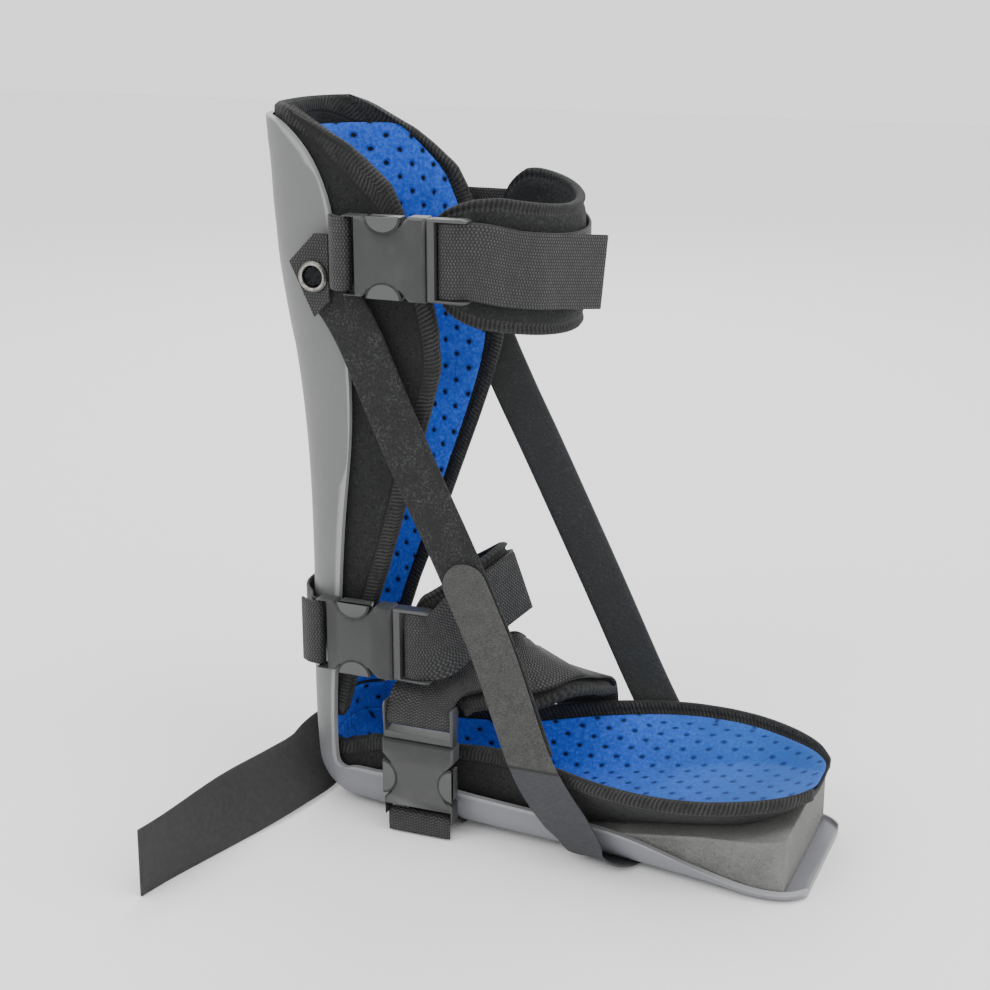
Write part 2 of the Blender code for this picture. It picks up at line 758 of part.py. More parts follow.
# Places of the straps, all worked out from the shell and the liner

def run_x(share):
    return heel_back + foot_length * share


upper_height = 0.836
upper_drop = 0.010
upper_buckle_start = 0.158
mid_height = 0.286
mid_rise = 0.022
mid_buckle_start = 0.052
lower_buckle_run = 0.268
lower_buckle_base = 0.008
lower_tail_side = 0.42


def strap_stack(inner_half):
    # Half widths of the layers of a strap: pad, webbing, tail and buckle
    pad = inner_half + pad_wall / 2
    main = pad + pad_wall / 2 + gap + webbing_wall / 2
    buckle = pad + pad_wall / 2 + soft_gap + buckle_wall / 2
    tail = main + webbing_wall + 2 * gap
    return pad, main, tail, buckle


loop_angles = [-88.0 + 176.0 * i / 14 for i in range(15)]


def loop_layer(centre_x, reach, half, angles, height_at):
    # Part of an ellipse round the leg, from the near side (-90) over the front (0) to the far side (90)
    points = []
    for angle in angles:
        across = math.sin(math.radians(angle))
        ahead = math.cos(math.radians(angle))
        points.append(Vector((centre_x + reach * ahead, half * across, height_at(ahead))))
    return points


def build_loop_strap(prefix, height, front_shift, inner_half, centre_run, reach, start_run, pad_width, tail_angle,
                     tail_reach, far_run, far_half):
    z = shell_height * height
    pad, main, tail, buckle = strap_stack(inner_half)
    x_start = run_x(start_run)
    centre = run_x(centre_run)
    frame = frame_of(Vector((x_start, -buckle, z)), Vector((1, 0, 0)), Vector((0, -1, 0)))
    build_buckle(prefix, frame)

    def height_at(front):
        return z + front_shift * max(front, 0.0) ** 1.5

    bar_x = x_start + tongue_bar
    middle = reach + pad_wall / 2
    pad_line = loop_layer(centre, middle, pad, loop_angles, height_at)
    pad_line = [Vector((pad_line[0].x - 0.006, -pad, z))] + pad_line + [Vector((pad_line[-1].x - 0.012, pad, z))]
    count = len(pad_line)
    narrow = {0: 0.80, 1: 0.84, 2: 0.92, count - 1: 0.80}
    widths = [pad_width * narrow.get(i, 1.0) for i in range(count)]
    band(prefix + "_pad", pad_line, upward, pad_width, pad_wall, *black_cloth, soft=True, widths=widths)

    bar = Vector((bar_x, -buckle, z))
    clear_x = x_start + buckle_length + tongue_length + 0.001
    held = [a for a in loop_angles if centre + middle * math.cos(math.radians(a)) > clear_x + 0.005 or a > 0.0]
    inner = loop_layer(centre, middle + main - pad, main, held, height_at)
    rest = 0.35 * (buckle - main)
    free = [a for a in held if a < tail_angle]
    outer = loop_layer(centre, middle + tail - pad, tail, free, height_at)
    direction = (outer[-1] - outer[-2]).normalized()
    outer += [outer[-1] + direction * tail_reach * t for t in (0.5, 1.0)]
    bar_in = bar + Vector((0, loop_radius, 0))
    bar_out = bar - Vector((0, loop_radius, 0))
    fold = turn_round(bar - forward, bar_out, bar_in)
    far_end = [Vector((pad_line[-1].x - 0.002, main, z)),
               Vector((run_x(far_run) + 0.03, (main + far_half) / 2, z)),
               Vector((run_x(far_run) + 0.006, far_half, z)), Vector((run_x(far_run), far_half, z))]
    near_outer = [Vector((clear_x, -tail - rest, z))]
    near_inner = [Vector((clear_x, -main - rest + gap, z))]
    line = outer[::-1] + near_outer + fold + near_inner + inner + far_end
    band(prefix + "_webbing", line, upward, webbing_width, webbing_wall, *dark_webbing)
    return buckle, z, x_start


def build_upper_strap():
    inner_half = calf_half - 0.0005
    far_half = calf_half + 2 * strap_gap + tension_wall + webbing_wall
    buckle, z, x_start = build_loop_strap("upper", upper_height, -upper_drop, inner_half, 0.33, 0.046,
                                          upper_buckle_start, upper_pad_width, -14, 0.030, 0.05, far_half)
    bar = Vector((x_start + bar_centre, -buckle, z))
    side = calf_half + strap_gap + tension_wall + strap_gap + webbing_wall
    rear = x_start - 0.010
    start = Vector((rear, -side, z))
    out_bar = bar + Vector((0, -loop_radius, 0))
    in_bar = bar + Vector((0, loop_radius, 0))
    fold = turn_round(bar + Vector((1, 0, 0)), out_bar, in_bar)
    inner_end = Vector((rear, -side + webbing_wall + 2 * gap, z))
    line = [start, out_bar + anchor_leave] + fold + [in_bar + anchor_leave, inner_end]
    band("upper_anchor", line, upward, webbing_width - 0.0012, webbing_wall, *dark_webbing)
    build_tab(rear - soft_gap, z, side)


def build_tab(edge_x, z, side):
    # A corner tab riveted to the shell, with an eyelet through it
    centre = Vector((edge_x - 0.0090, 0.0, z - 0.014))
    bm = bmesh.new()
    outline = [(edge_x, z + 0.008), (edge_x, z - 0.026), (edge_x - 0.009, z - 0.035),
               (edge_x - 0.0225, z - 0.007), (edge_x - 0.008, z + 0.008)]
    near = [bm.verts.new(Vector((x, -side - webbing_wall / 2, h))) for x, h in outline]
    face = bm.faces.new(near)
    raised = bmesh.ops.extrude_face_region(bm, geom=[face])
    moved = [g for g in raised["geom"] if isinstance(g, bmesh.types.BMVert)]
    bmesh.ops.translate(bm, vec=Vector((0.0, webbing_wall, 0.0)), verts=moved)
    tab = add_object("upper_tab", bm, *dark_webbing, smooth=False)
    hole = bmesh.new()
    spot = Matrix.Translation(Vector((centre.x, -side, centre.z))) @ Matrix.Rotation(math.pi / 2, 4, "X")
    bmesh.ops.create_cone(hole, cap_ends=True, segments=20, radius1=eyelet_radius * 0.72, radius2=eyelet_radius * 0.72,
                          depth=0.01, matrix=spot)
    cut_with(tab, add_object("eyelet_hole_cutter", hole, *dark_webbing))
    ring = bmesh.new()
    profile = [(0.55, -0.9), (0.66, -0.9), (0.66, 0.9), (1.0, 0.9), (0.94, 1.7), (0.62, 1.9), (0.55, 1.2)]
    verts = [ring.verts.new(Vector((eyelet_radius * r, 0.0, webbing_wall * w))) for r, w in profile]
    edges = [ring.edges.new((verts[i], verts[(i + 1) % len(verts)])) for i in range(len(verts))]
    bmesh.ops.spin(ring, geom=verts + edges, cent=(0, 0, 0), axis=(0, 0, 1), angle=2 * math.pi, steps=12,
                   use_merge=True, use_duplicate=False)
    bmesh.ops.transform(ring, matrix=spot, verts=ring.verts)
    add_object("eyelet", ring, (0.35, 0.34, 0.30), 0.35, 1.0)


def build_mid_strap():
    shell_half = calf_outer_half(mid_height)
    inner_half = shell_half - 0.0065
    far_half = shell_half + soft_gap + webbing_wall / 2 + 0.003
    buckle, z, x_start = build_loop_strap("mid", mid_height, mid_rise, inner_half, 0.255, 0.026,
                                          mid_buckle_start, mid_pad_width, -20, 0.024, 0.12, far_half)
    bar = Vector((x_start + bar_centre, -buckle, z))
    trough = calf_trough(mid_height, calf_depth * value_at(calf_rows, "depth", mid_height))
    line = trough_line(trough, -(soft_gap + webbing_wall / 2 + 0.0012), 3, 8, 1)
    round_back = smooth_route(line[1:-1], 18)
    out_bar = bar + Vector((0, -loop_radius, 0))
    in_bar = bar + Vector((0, loop_radius, 0))
    fold = turn_round(bar + Vector((1, 0, 0)), out_bar, in_bar)
    tail_end = Vector((round_back[3].x, -shell_half - 0.0065, z))
    line = [tail_end, out_bar + anchor_leave] + fold
    line += smooth_route([in_bar, in_bar + anchor_leave] + round_back[3:], 22)[1:]
    band("mid_anchor", line, upward, webbing_width - 0.0012, webbing_wall, *dark_webbing)



def swept_offset(line, leans, distance):
    # The line moved along the outer normal of a band with these leans
    moved = []
    for i, p in enumerate(line):
        tangent = (line[min(i + 1, len(line) - 1)] - line[max(i - 1, 0)]).normalized()
        moved.append(p + leans[i].cross(tangent).normalized() * distance)
    return moved


def half_turn_below(bar, out_bar, in_bar, steps=7):
    # Half turn under a bar, from its outer side to its inner side
    middle = (in_bar + out_bar) / 2
    half = out_bar - middle
    drop = (bar - middle).normalized() * half.length
    return [middle + half * math.cos(math.pi * i / steps) + drop * math.sin(math.pi * i / steps)
            for i in range(1, steps)]


instep_slope = Vector((0.90, 0.0, -0.43))

# Route of the lower pad over the instep: run of foot_length, side of sole_half, height of
# shell_height, lean from level (0) to the instep's slope (1)
InstepRow = namedtuple("InstepRow", "run side height lean")
instep_rows = [
    InstepRow(0.270, -0.62, 0.186, 0.0),
    InstepRow(0.276, -0.53, 0.208, 0.2),
    InstepRow(0.310, -0.36, 0.219, 0.5),
    InstepRow(0.380, -0.08, 0.220, 0.9),
    InstepRow(0.440, 0.18, 0.214, 1.0),
    InstepRow(0.466, 0.48, 0.194, 0.8),
    InstepRow(0.475, 0.74, 0.176, 0.4),
    InstepRow(0.475, 0.90, 0.157, 0.1),
]


def sole_wrap(run, half_width, offset):
    # Outline of the sole's underside, clear of it over the whole width of a strap
    reach = half_width / foot_length
    lines = [trough_line(sole_trough(r), -offset, 2, 4, 2) for r in (run - reach, run, run + reach)]
    outline = []
    for points in zip(*lines):
        across = max(abs(p.y) for p in points)
        outline.append(Vector((run_x(run), math.copysign(across, points[1].y), min(p.z for p in points))))
    return outline


def build_lower_strap():
    run = lower_buckle_run
    side = sole_half_at(run + 0.06) + soft_gap + webbing_wall / 2
    buckle = side + webbing_wall / 2 + soft_gap + buckle_wall / 2
    x = run_x(run)
    low = lower_buckle_base
    build_buckle("lower", frame_of(Vector((x, -buckle, low)), upward, Vector((0, -1, 0))))

    bar = Vector((x, -buckle, low + bar_centre))
    out_bar = bar - Vector((0, loop_radius, 0))
    in_bar = bar + Vector((0, loop_radius, 0))
    over = half_turn_below(bar + upward, out_bar, in_bar)
    under = sole_wrap(run, webbing_width / 2, gap + webbing_wall / 2)
    start = Vector((x, out_bar.y, bar.z - 0.009))
    line = [start, out_bar] + over + [in_bar] + under[4:] + [Vector((x, under[-1].y, rim_depth))]
    band("lower_anchor", line, forward, webbing_width - 0.0012, webbing_wall, *dark_webbing)

    rows = [Vector((run_x(r.run), sole_half * r.side, shell_height * r.height)) for r in instep_rows]
    slopes = [forward.lerp(instep_slope, r.lean) for r in instep_rows]
    pad_line = smooth_route(rows, 14)
    pad_leans = smooth_route(slopes, 14)
    band("lower_pad", pad_line, pad_leans, lower_pad_width, pad_wall, *black_cloth, soft=True)

    bar = Vector((x, -buckle, low + tongue_bar))
    out_bar = bar - Vector((0, loop_radius, 0))
    in_bar = bar + Vector((0, loop_radius, 0))
    below = half_turn_below(bar - upward, out_bar, in_bar)
    first = pad_wall / 2 + padding_gap + webbing_wall / 2
    second = first + webbing_wall + gap
    clear = low + buckle_length + tongue_length + 0.001
    held = [i for i, p in enumerate(pad_line) if p.z > clear + 0.003 or p.y > 0.0]
    main = [swept_offset(pad_line, pad_leans, first)[i] for i in held]
    leans = [pad_leans[i] for i in held]
    tail_end = lower_tail_side * sole_half
    covered = [i for i in held if pad_line[i].y < tail_end]
    tail = [swept_offset(pad_line, pad_leans, second)[i] for i in covered]
    end_x = run_x(instep_rows[-1].run)
    rim = tray_half * value_at(tray_rows, "rim_half", instep_rows[-1].run + 0.065) + binding_radius * 1.8
    far_half = sole_half_at(instep_rows[-1].run + 0.06) + soft_gap + webbing_wall
    far_end = [Vector((end_x, rim, tray_height)), Vector((end_x, (rim + far_half) / 2, rim_depth)),
               Vector((end_x, far_half, rim_depth / 2))]
    leave_in = Vector((x, in_bar.y + 0.0016, clear))
    leave_out = leave_in - Vector((0, webbing_wall + 2 * gap, 0))
    line = tail[::-1] + [leave_out, out_bar] + below + [in_bar, leave_in] + main + far_end
    directions = leans[:len(tail)][::-1] + [forward] * (len(below) + 4) + leans + [forward] * len(far_end)
    band("lower_webbing", line, directions, webbing_width, webbing_wall, *dark_webbing)


# Route of the tension straps: run of foot_length, height of shell_height, stand off of
# the side of the shell or the tray in strap walls
TensionRow = namedtuple("TensionRow", "run height side")
near_tension_rows = [
    TensionRow(0.095, 0.795, 1.026),
    TensionRow(0.150, 0.745, 1.032),
    TensionRow(0.222, 0.636, 1.070),
    TensionRow(0.290, 0.531, 1.100),
    TensionRow(0.360, 0.425, 1.115),
    TensionRow(0.430, 0.308, 1.125),
    TensionRow(0.505, 0.160, 1.165),
]
near_hook_rows = [
    TensionRow(0.360, 0.425, 1.115),
    TensionRow(0.430, 0.308, 1.125),
    TensionRow(0.505, 0.160, 1.165),
    TensionRow(0.535, 0.119, 1.165),
    TensionRow(0.562, 0.085, 1.110),
    TensionRow(0.586, 0.050, 1.000),
    TensionRow(0.603, 0.022, 0.915),
]
far_tension_rows = [
    TensionRow(0.095, 0.795, 1.045),
    TensionRow(0.215, 0.735, 1.090),
    TensionRow(0.317, 0.585, 1.175),
    TensionRow(0.475, 0.338, 1.245),
    TensionRow(0.600, 0.137, 1.300),
    TensionRow(0.655, 0.075, 1.200),
]
far_hook_rows = [
    TensionRow(0.690, 0.042, 0.990),
    TensionRow(0.672, 0.062, 1.050),
    TensionRow(0.650, 0.090, 1.140),
]
strap_across = Vector((0.91, 0.0, 0.42))
sole_across = Vector((0.97, -0.23, 0.0))


def tension_points(rows, sign, extra):
    return [Vector((run_x(r.run), sign * (calf_half * r.side + extra), shell_height * r.height)) for r in rows]


def build_tension_straps():
    near = smooth_route(tension_points(near_tension_rows, -1, 0.0), 16)
    band("near_tension_strap", near, strap_across, tension_width, tension_wall, *black_cloth)
    lift = tension_wall / 2 + 2 * gap + hook_wall / 2
    near_run = near_hook_rows[-1].run + 0.012
    far_run = far_hook_rows[0].run + 0.006
    under = []
    count = len(sole_wrap(near_run, 0.0, 0.0))
    for j in range(count):
        run = near_run + (far_run - near_run) * j / (count - 1)
        under.append(sole_wrap(run, tension_width / 2, gap + hook_wall / 2)[j])
    sides = smooth_route(tension_points(near_hook_rows, -1, lift), 15)
    rising = smooth_route(tension_points(far_hook_rows, 1, 0.0), 4)
    line = sides + under[5:-2] + rising
    directions = []
    for p in line:
        level = sole_across.lerp(forward, eased(p.y, 0.005, 0.030))
        low = 0.006 if p.y < 0.0 else 0.016
        directions.append(level.lerp(strap_across, eased(p.z, low, 0.034)))
    band("near_hook_strap", line, directions, tension_width - 0.001, hook_wall, *dark_webbing)
    far = smooth_route(tension_points(far_tension_rows, 1, lift * 0.6), 16)
    band("far_tension_strap", far, strap_across, tension_width, tension_wall, *black_cloth)


def build_rear_strap():
    # It stands on its edge, is held behind the heel and leans back there
    half = webbing_width / 2
    level = half + 0.0005
    around = trough_line(calf_trough(0.1, calf_depth * 0.62), -0.0032, 2, 6, 1)[::-1]
    around = [Vector((p.x, p.y, level)) for p in around]
    wrapped = around[:len(around) // 2 + 1]
    exit_x = heel_back - 0.0042
    lean_angle = math.radians(44.0)
    low = half * math.cos(lean_angle) + 0.0020
    end_x = heel_back - 0.0267
    free = [Vector((exit_x - 0.0012, -0.012, low)), Vector((exit_x - 0.004, -0.040, low + 0.0008)),
            Vector((exit_x - 0.013, -0.100, (low + level) / 2 + 0.001)),
            Vector((end_x, -rear_strap_reach, level))]
    line = smooth_route(wrapped + free, 26)
    directions = []
    for p in line:
        lean = lean_angle * min(eased(-p.y, -0.022, 0.0), 1.0 - eased(-p.y, 0.030, 0.160))
        directions.append(Vector((-math.sin(lean), 0.0, math.cos(lean))))
    band("rear_strap", line, directions, webbing_width, webbing_wall, *dark_webbing)


clear_scene()
build_shell()
build_liner()
build_wedge()
build_upper_strap()
build_mid_strap()
build_lower_strap()
build_tension_straps()
build_rear_strap()
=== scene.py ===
import math

import bmesh
import bpy
from mathutils import Matrix, Vector, noise
from mathutils.bvhtree import BVHTree


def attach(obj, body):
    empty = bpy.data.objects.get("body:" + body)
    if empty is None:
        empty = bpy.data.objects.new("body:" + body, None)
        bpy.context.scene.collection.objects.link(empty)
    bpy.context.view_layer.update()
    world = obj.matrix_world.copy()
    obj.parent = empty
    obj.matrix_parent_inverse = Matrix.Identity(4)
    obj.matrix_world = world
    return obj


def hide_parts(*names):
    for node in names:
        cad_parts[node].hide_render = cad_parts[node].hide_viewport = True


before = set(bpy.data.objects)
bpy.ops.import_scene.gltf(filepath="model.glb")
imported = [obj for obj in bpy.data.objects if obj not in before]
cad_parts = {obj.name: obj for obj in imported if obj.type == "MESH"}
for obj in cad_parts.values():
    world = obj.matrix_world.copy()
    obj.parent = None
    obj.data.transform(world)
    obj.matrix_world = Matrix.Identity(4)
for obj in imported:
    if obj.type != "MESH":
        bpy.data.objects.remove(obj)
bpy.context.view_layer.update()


# Shader maths: a socket that takes part in Python expressions

class Wire:
    def __init__(self, finish, socket):
        self.finish = finish
        self.socket = socket

    def maths(self, operation, *values):
        return self.finish.node("ShaderNodeMath", {"operation": operation}, values).out()

    def __add__(self, other):
        return self.maths("ADD", self, other)

    __radd__ = __add__

    def __mul__(self, other):
        return self.maths("MULTIPLY", self, other)

    __rmul__ = __mul__

    def __sub__(self, other):
        return self.maths("SUBTRACT", self, other)

    def __rsub__(self, other):
        return self.maths("SUBTRACT", other, self)

    def __truediv__(self, other):
        return self.maths("DIVIDE", self, other)

    def fract(self):
        return self.maths("FRACT", self)

    def absolute(self):
        return self.maths("ABSOLUTE", self)

    def sine(self):
        return self.maths("SINE", self)

    def turn(self, other):
        return self.maths("ARCTAN2", self, other)

    def least(self, other):
        return self.maths("MINIMUM", self, other)

    def most(self, other):
        return self.maths("MAXIMUM", self, other)

    def ramp(self, low, high, first=0.0, last=1.0):
        smooth = {"interpolation_type": "SMOOTHSTEP"}
        values = {"Value": self, "From Min": low, "From Max": high, "To Min": first, "To Max": last}
        return self.finish.node("ShaderNodeMapRange", smooth, values).out("Result")


class Made:
    def __init__(self, finish, node):
        self.finish = finish
        self.node = node

    def out(self, name=0):
        return Wire(self.finish, self.node.outputs[name])


class Finish:
    def __init__(self, name, colour, roughness, metallic=0.0):
        self.material = bpy.data.materials.new(name)
        self.material.use_nodes = True
        self.material.diffuse_color = (*colour, 1.0)
        self.tree = self.material.node_tree
        self.shader = self.tree.nodes["Principled BSDF"]
        self.shader.inputs["Base Color"].default_value = (*colour, 1.0)
        self.shader.inputs["Roughness"].default_value = roughness
        self.shader.inputs["Metallic"].default_value = metallic

    def node(self, kind, settings=None, values=()):
        made = self.tree.nodes.new(kind)
        for key, value in (settings or {}).items():
            setattr(made, key, value)
        pairs = values.items() if isinstance(values, dict) else enumerate(values)
        for key, value in pairs:
            if isinstance(value, Wire):
                self.tree.links.new(value.socket, made.inputs[key])
            else:
                made.inputs[key].default_value = value
        return Made(self, made)

    def place(self):
        return self.node("ShaderNodeTexCoord").out("Object")

    def surface(self):
        return self.axes(self.node("ShaderNodeTexCoord").out("UV"))[:2]

    def carried(self, name):
        return self.node("ShaderNodeAttribute", {"attribute_name": name}).out("Fac")

    def axes(self, vector):
        split = self.node("ShaderNodeSeparateXYZ", None, {"Vector": vector})
        return split.out("X"), split.out("Y"), split.out("Z")

    def grain(self, scale, detail=2.0, roughness=0.5):
        values = {"Vector": self.place(), "Scale": scale, "Detail": detail, "Roughness": roughness}
        return self.node("ShaderNodeTexNoise", None, values).out("Fac")

    def cells(self, scale):
        values = {"Vector": self.place(), "Scale": scale}
        return self.node("ShaderNodeTexVoronoi", None, values).out("Distance")

    def blend(self, factor, first, second):
        # Mix of two colours, each a triple or a wire
        values = {0: factor}
        for key, value in ((6, first), (7, second)):
            values[key] = (*value, 1.0) if isinstance(value, tuple) else value
        return self.node("ShaderNodeMix", {"data_type": "RGBA"}, values).out(2)

    def paint(self, **values):
        names = {"colour": "Base Color", "roughness": "Roughness"}
        for key, wire in values.items():
            self.tree.links.new(wire.socket, self.shader.inputs[names[key]])

    def sheen(self, weight, roughness, tint):
        self.shader.inputs["Sheen Weight"].default_value = weight
        self.shader.inputs["Sheen Roughness"].default_value = roughness
        self.shader.inputs["Sheen Tint"].default_value = (*tint, 1.0)
        return self

    def bump(self, height, distance, strength):
        values = {"Height": height, "Distance": distance, "Strength": strength}
        made = self.node("ShaderNodeBump", None, values)
        self.tree.links.new(made.out("Normal").socket, self.shader.inputs["Normal"])


# Camera, floor and light

stageSettings = {
    "target": (0.064, 0.0, 0.185),
    "azimuth": 22.0,
    "elevation": 17.0,
    "distance": 1.0,
    "focalPixels": 1850.0,
    "imagePixels": 990.0,
    "sensor": 36.0,
    "floorColour": (0.92, 0.92, 0.92),
    "skyStrength": 1.55,
    "lamps": [
        ("keyLamp", (-0.6, -1.3, 1.5), 0.8, 8.0),
        ("fillLamp", (1.5, -0.8, 0.8), 1.2, 5.0),
        ("rimLamp", (-0.5, 1.4, 1.3), 0.9, 9.0),
        ("topLamp", (0.8, -0.2, 1.9), 0.7, 9.0),
    ],
}


def buildStage(settings):
    scene = bpy.context.scene
    camera = bpy.data.cameras.new("camera")
    camera.sensor_width = settings["sensor"]
    camera.lens = settings["sensor"] * settings["focalPixels"] / settings["imagePixels"]
    camera.clip_start = 0.01
    eye = bpy.data.objects.new("camera", camera)
    scene.collection.objects.link(eye)
    azimuth = math.radians(settings["azimuth"])
    elevation = math.radians(settings["elevation"])
    target = Vector(settings["target"])
    level = Vector((math.sin(azimuth), -math.cos(azimuth), 0.0)) * math.cos(elevation)
    eye.location = target + (level + Vector((0.0, 0.0, math.sin(elevation)))) * settings["distance"]
    eye.rotation_euler = (target - eye.location).to_track_quat("-Z", "Y").to_euler()
    scene.camera = eye

    bm = bmesh.new()
    bmesh.ops.create_grid(bm, x_segments=1, y_segments=1, size=4.0)
    paper = Finish("floorPaper", settings["floorColour"], 0.9)
    paper.paint(roughness=paper.grain(3.0).ramp(0.0, 1.0, 0.85, 0.95))
    newObject("floor", bm, paper)

    world = bpy.data.worlds.new("studio")
    world.use_nodes = True
    world.node_tree.nodes["Background"].inputs["Color"].default_value = (1.0, 1.0, 1.0, 1.0)
    world.node_tree.nodes["Background"].inputs["Strength"].default_value = settings["skyStrength"]
    scene.world = world
    for name, place, size, power in settings["lamps"]:
        light = bpy.data.lights.new(name, "AREA")
        light.size = size
        light.energy = power
        lamp = bpy.data.objects.new(name, light)
        lamp.location = place
        lamp.rotation_euler = (target - Vector(place)).to_track_quat("-Z", "Y").to_euler()
        scene.collection.objects.link(lamp)


# Objects and their place in the frame

def newObject(name, bm, finish, smooth=True):
    mesh = bpy.data.meshes.new(name)
    bm.to_mesh(mesh)
    bm.free()
    if smooth:
        mesh.shade_smooth()
    mesh.materials.append(finish.material)
    piece = bpy.data.objects.new(name, mesh)
    bpy.context.scene.collection.objects.link(piece)
    return piece


def dress(piece, node):
    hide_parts(node)
    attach(piece, "root")
    print("made", piece.name)
    return piece


def evenly(low, high, count):
    return [low + (high - low) * i / (count - 1) for i in range(count)]


def cornersOf(node):
    points = [vert.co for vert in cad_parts[node].data.vertices]
    return [Vector([pick(point[k] for point in points) for k in range(3)]) for pick in (min, max)]


def rounder(piece, levels):
    modifier = piece.modifiers.new("rounder", "SUBSURF")
    modifier.levels = levels
    modifier.render_levels = levels


def mergedCopy(node, near=0.000005):
    bm = bmesh.new()
    bm.from_mesh(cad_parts[node].data)
    bmesh.ops.remove_doubles(bm, verts=bm.verts, dist=near)
    return bm


def pairedCopy(node):
    # Triangles joined into four-sided faces where they lie nearly flat
    bm = mergedCopy(node)
    bmesh.ops.join_triangles(bm, faces=bm.faces, angle_face_threshold=math.radians(40.0),
                             angle_shape_threshold=math.radians(60.0))
    return bm


def roundEdges(bm, width, segments, limit):
    # Bevels every edge sharper than the limit, and marks the new faces' points
    mark = bm.verts.layers.float.new("rim")
    sharp = [edge for edge in bm.edges if edge.calc_face_angle(0.0) > math.radians(limit)]
    made = bmesh.ops.bevel(bm, geom=sharp, offset=width, offset_type="OFFSET", segments=segments, profile=0.5,
                           affect="EDGES", clamp_overlap=True, material=-1)
    for face in made["faces"]:
        for vert in face.verts:
            vert[mark] = 1.0


# Bands: cross sections read from the frame, then swept again finely

def flatPatches(bm, limit):
    done = set()
    for face in bm.faces:
        if face in done:
            continue
        patch = {face}
        waiting = [face]
        while waiting:
            for edge in waiting.pop().edges:
                for other in edge.link_faces:
                    if other not in patch and other.normal.angle(face.normal, 1.0) < limit:
                        patch.add(other)
                        waiting.append(other)
        done |= patch
        yield {vert for one in patch for vert in one.verts}


def layersFrom(ends):
    # Sorted by place, so that every run takes the points in the same order
    seen = set(ends)
    layers = [sorted(ends, key=lambda vert: vert.co[:])]
    while layers[-1]:
        following = []
        for vert in layers[-1]:
            for edge in vert.link_edges:
                other = edge.other_vert(vert)
                if other not in seen:
                    seen.add(other)
                    following.append(other)
        layers.append(following)
    return layers[:-1]


def middleOf(points):
    return sum(points, Vector()) / len(points)


patchLimits = (0.01, 0.05, 0.2, 0.5)


def crossSections(node, corners, startsAt):
    # The layers of points from one flat end to the other, the end nearest to the given place first
    bm = mergedCopy(node)
    found = []
    for limit in patchLimits:
        for ends in flatPatches(bm, limit):
            if len(ends) == corners:
                layers = layersFrom(ends)
                if all(len(layer) == corners for layer in layers):
                    found.append([[vert.co.copy() for vert in layer] for layer in layers])
        if found:
            break
    bm.free()
    return min(found, key=lambda layers: (middleOf(layers[0]) - Vector(startsAt)).length)


def spotBelow(vert, drop=0.01, favour=0.001):
    # The neighbour straight below, or else the one that is nearest when seen from above
    def away(other):
        return (other.co.xy - vert.co.xy).length - (favour if other.co.z < vert.co.z - drop else 0.0)

    return min((edge.other_vert(vert) for edge in vert.link_edges), key=away).co.copy()


def uprightSections(node, startsAt):
    # The same for a band whose width stands upright: its top edge is walked round
    bm = mergedCopy(node)
    top = {face for face in bm.faces if face.normal.z > 0.5}
    border = {edge for edge in bm.edges if sum(face in top for face in edge.link_faces) == 1}
    first = min(border, key=lambda edge: (middleOf([v.co for v in edge.verts]) - Vector(startsAt)).length)
    walked = [first.verts[1]]
    edge = first
    while walked[-1] is not first.verts[0]:
        edge = next(e for e in walked[-1].link_edges if e in border and e is not edge)
        walked.append(edge.other_vert(walked[-1]))
    sections = []
    for i in range(len(walked) // 2):
        points = []
        for vert in (walked[i], walked[-1 - i]):
            points += [vert.co.copy(), spotBelow(vert)]
        sections.append(points)
    bm.free()
    return sections


legMiddle = (0.03, 0.0)


def stationsOf(sections):
    # Middle, way across, half width and wall of each cross section, its outer side away from the leg
    middles = [middleOf(points) for points in sections]
    stations = []
    outs = []
    previous = None
    for i, points in enumerate(sections):
        pairs = [(a, b) for a in points for b in points]
        first, last = max(pairs, key=lambda pair: (pair[0] - pair[1]).length)
        ordered = sorted(points, key=lambda p: (p - first).dot(last - first))
        across = middleOf(ordered[-2:]) - middleOf(ordered[:2])
        if previous is not None and across.dot(previous) < 0.0:
            across = -across
        previous = across
        tangent = (middles[min(i + 1, len(middles) - 1)] - middles[max(i - 1, 0)]).normalized()
        out = tangent.cross(across).normalized()
        heights = [(p - middles[i]).dot(out) for p in points]
        outs.append(out)
        stations.append((middles[i], across.normalized(), across.length / 2, max(heights) - min(heights)))
    half = len(sections) // 2
    if outs[half].xy.dot(middles[half].xy - Vector(legMiddle)) < 0.0:
        stations = [(middle, -across, width, wall) for middle, across, width, wall in stations]
    return stations


def smoothStations(stations, step):
    # More stations on a smooth line through the given ones
    middles = [s[0] for s in stations]
    gaps = [(b - a).length for a, b in zip(middles, middles[1:])]
    slopes = []
    for i in range(len(middles)):
        if i == 0:
            slopes.append((middles[1] - middles[0]) / gaps[0])
        elif i == len(gaps):
            slopes.append((middles[-1] - middles[-2]) / gaps[-1])
        else:
            before = (middles[i] - middles[i - 1]) / gaps[i - 1]
            after = (middles[i + 1] - middles[i]) / gaps[i]
            slopes.append((before * gaps[i] + after * gaps[i - 1]) / (gaps[i] + gaps[i - 1]))
    finer = []
    for i, gap in enumerate(gaps):
        count = max(1, math.ceil(gap / step))
        for k in range(count):
            t = k / count
            a = middles[i] * (2 * t ** 3 - 3 * t ** 2 + 1) + slopes[i] * gap * (t ** 3 - 2 * t ** 2 + t)
            b = middles[i + 1] * (3 * t ** 2 - 2 * t ** 3) + slopes[i + 1] * gap * (t ** 3 - t ** 2)
            across = stations[i][1].lerp(stations[i + 1][1], t).normalized()
            half = stations[i][2] * (1 - t) + stations[i + 1][2] * t
            wall = stations[i][3] * (1 - t) + stations[i + 1][3] * t
            finer.append((a + b, across, half, wall))
    finer.append(stations[-1])
    return finer


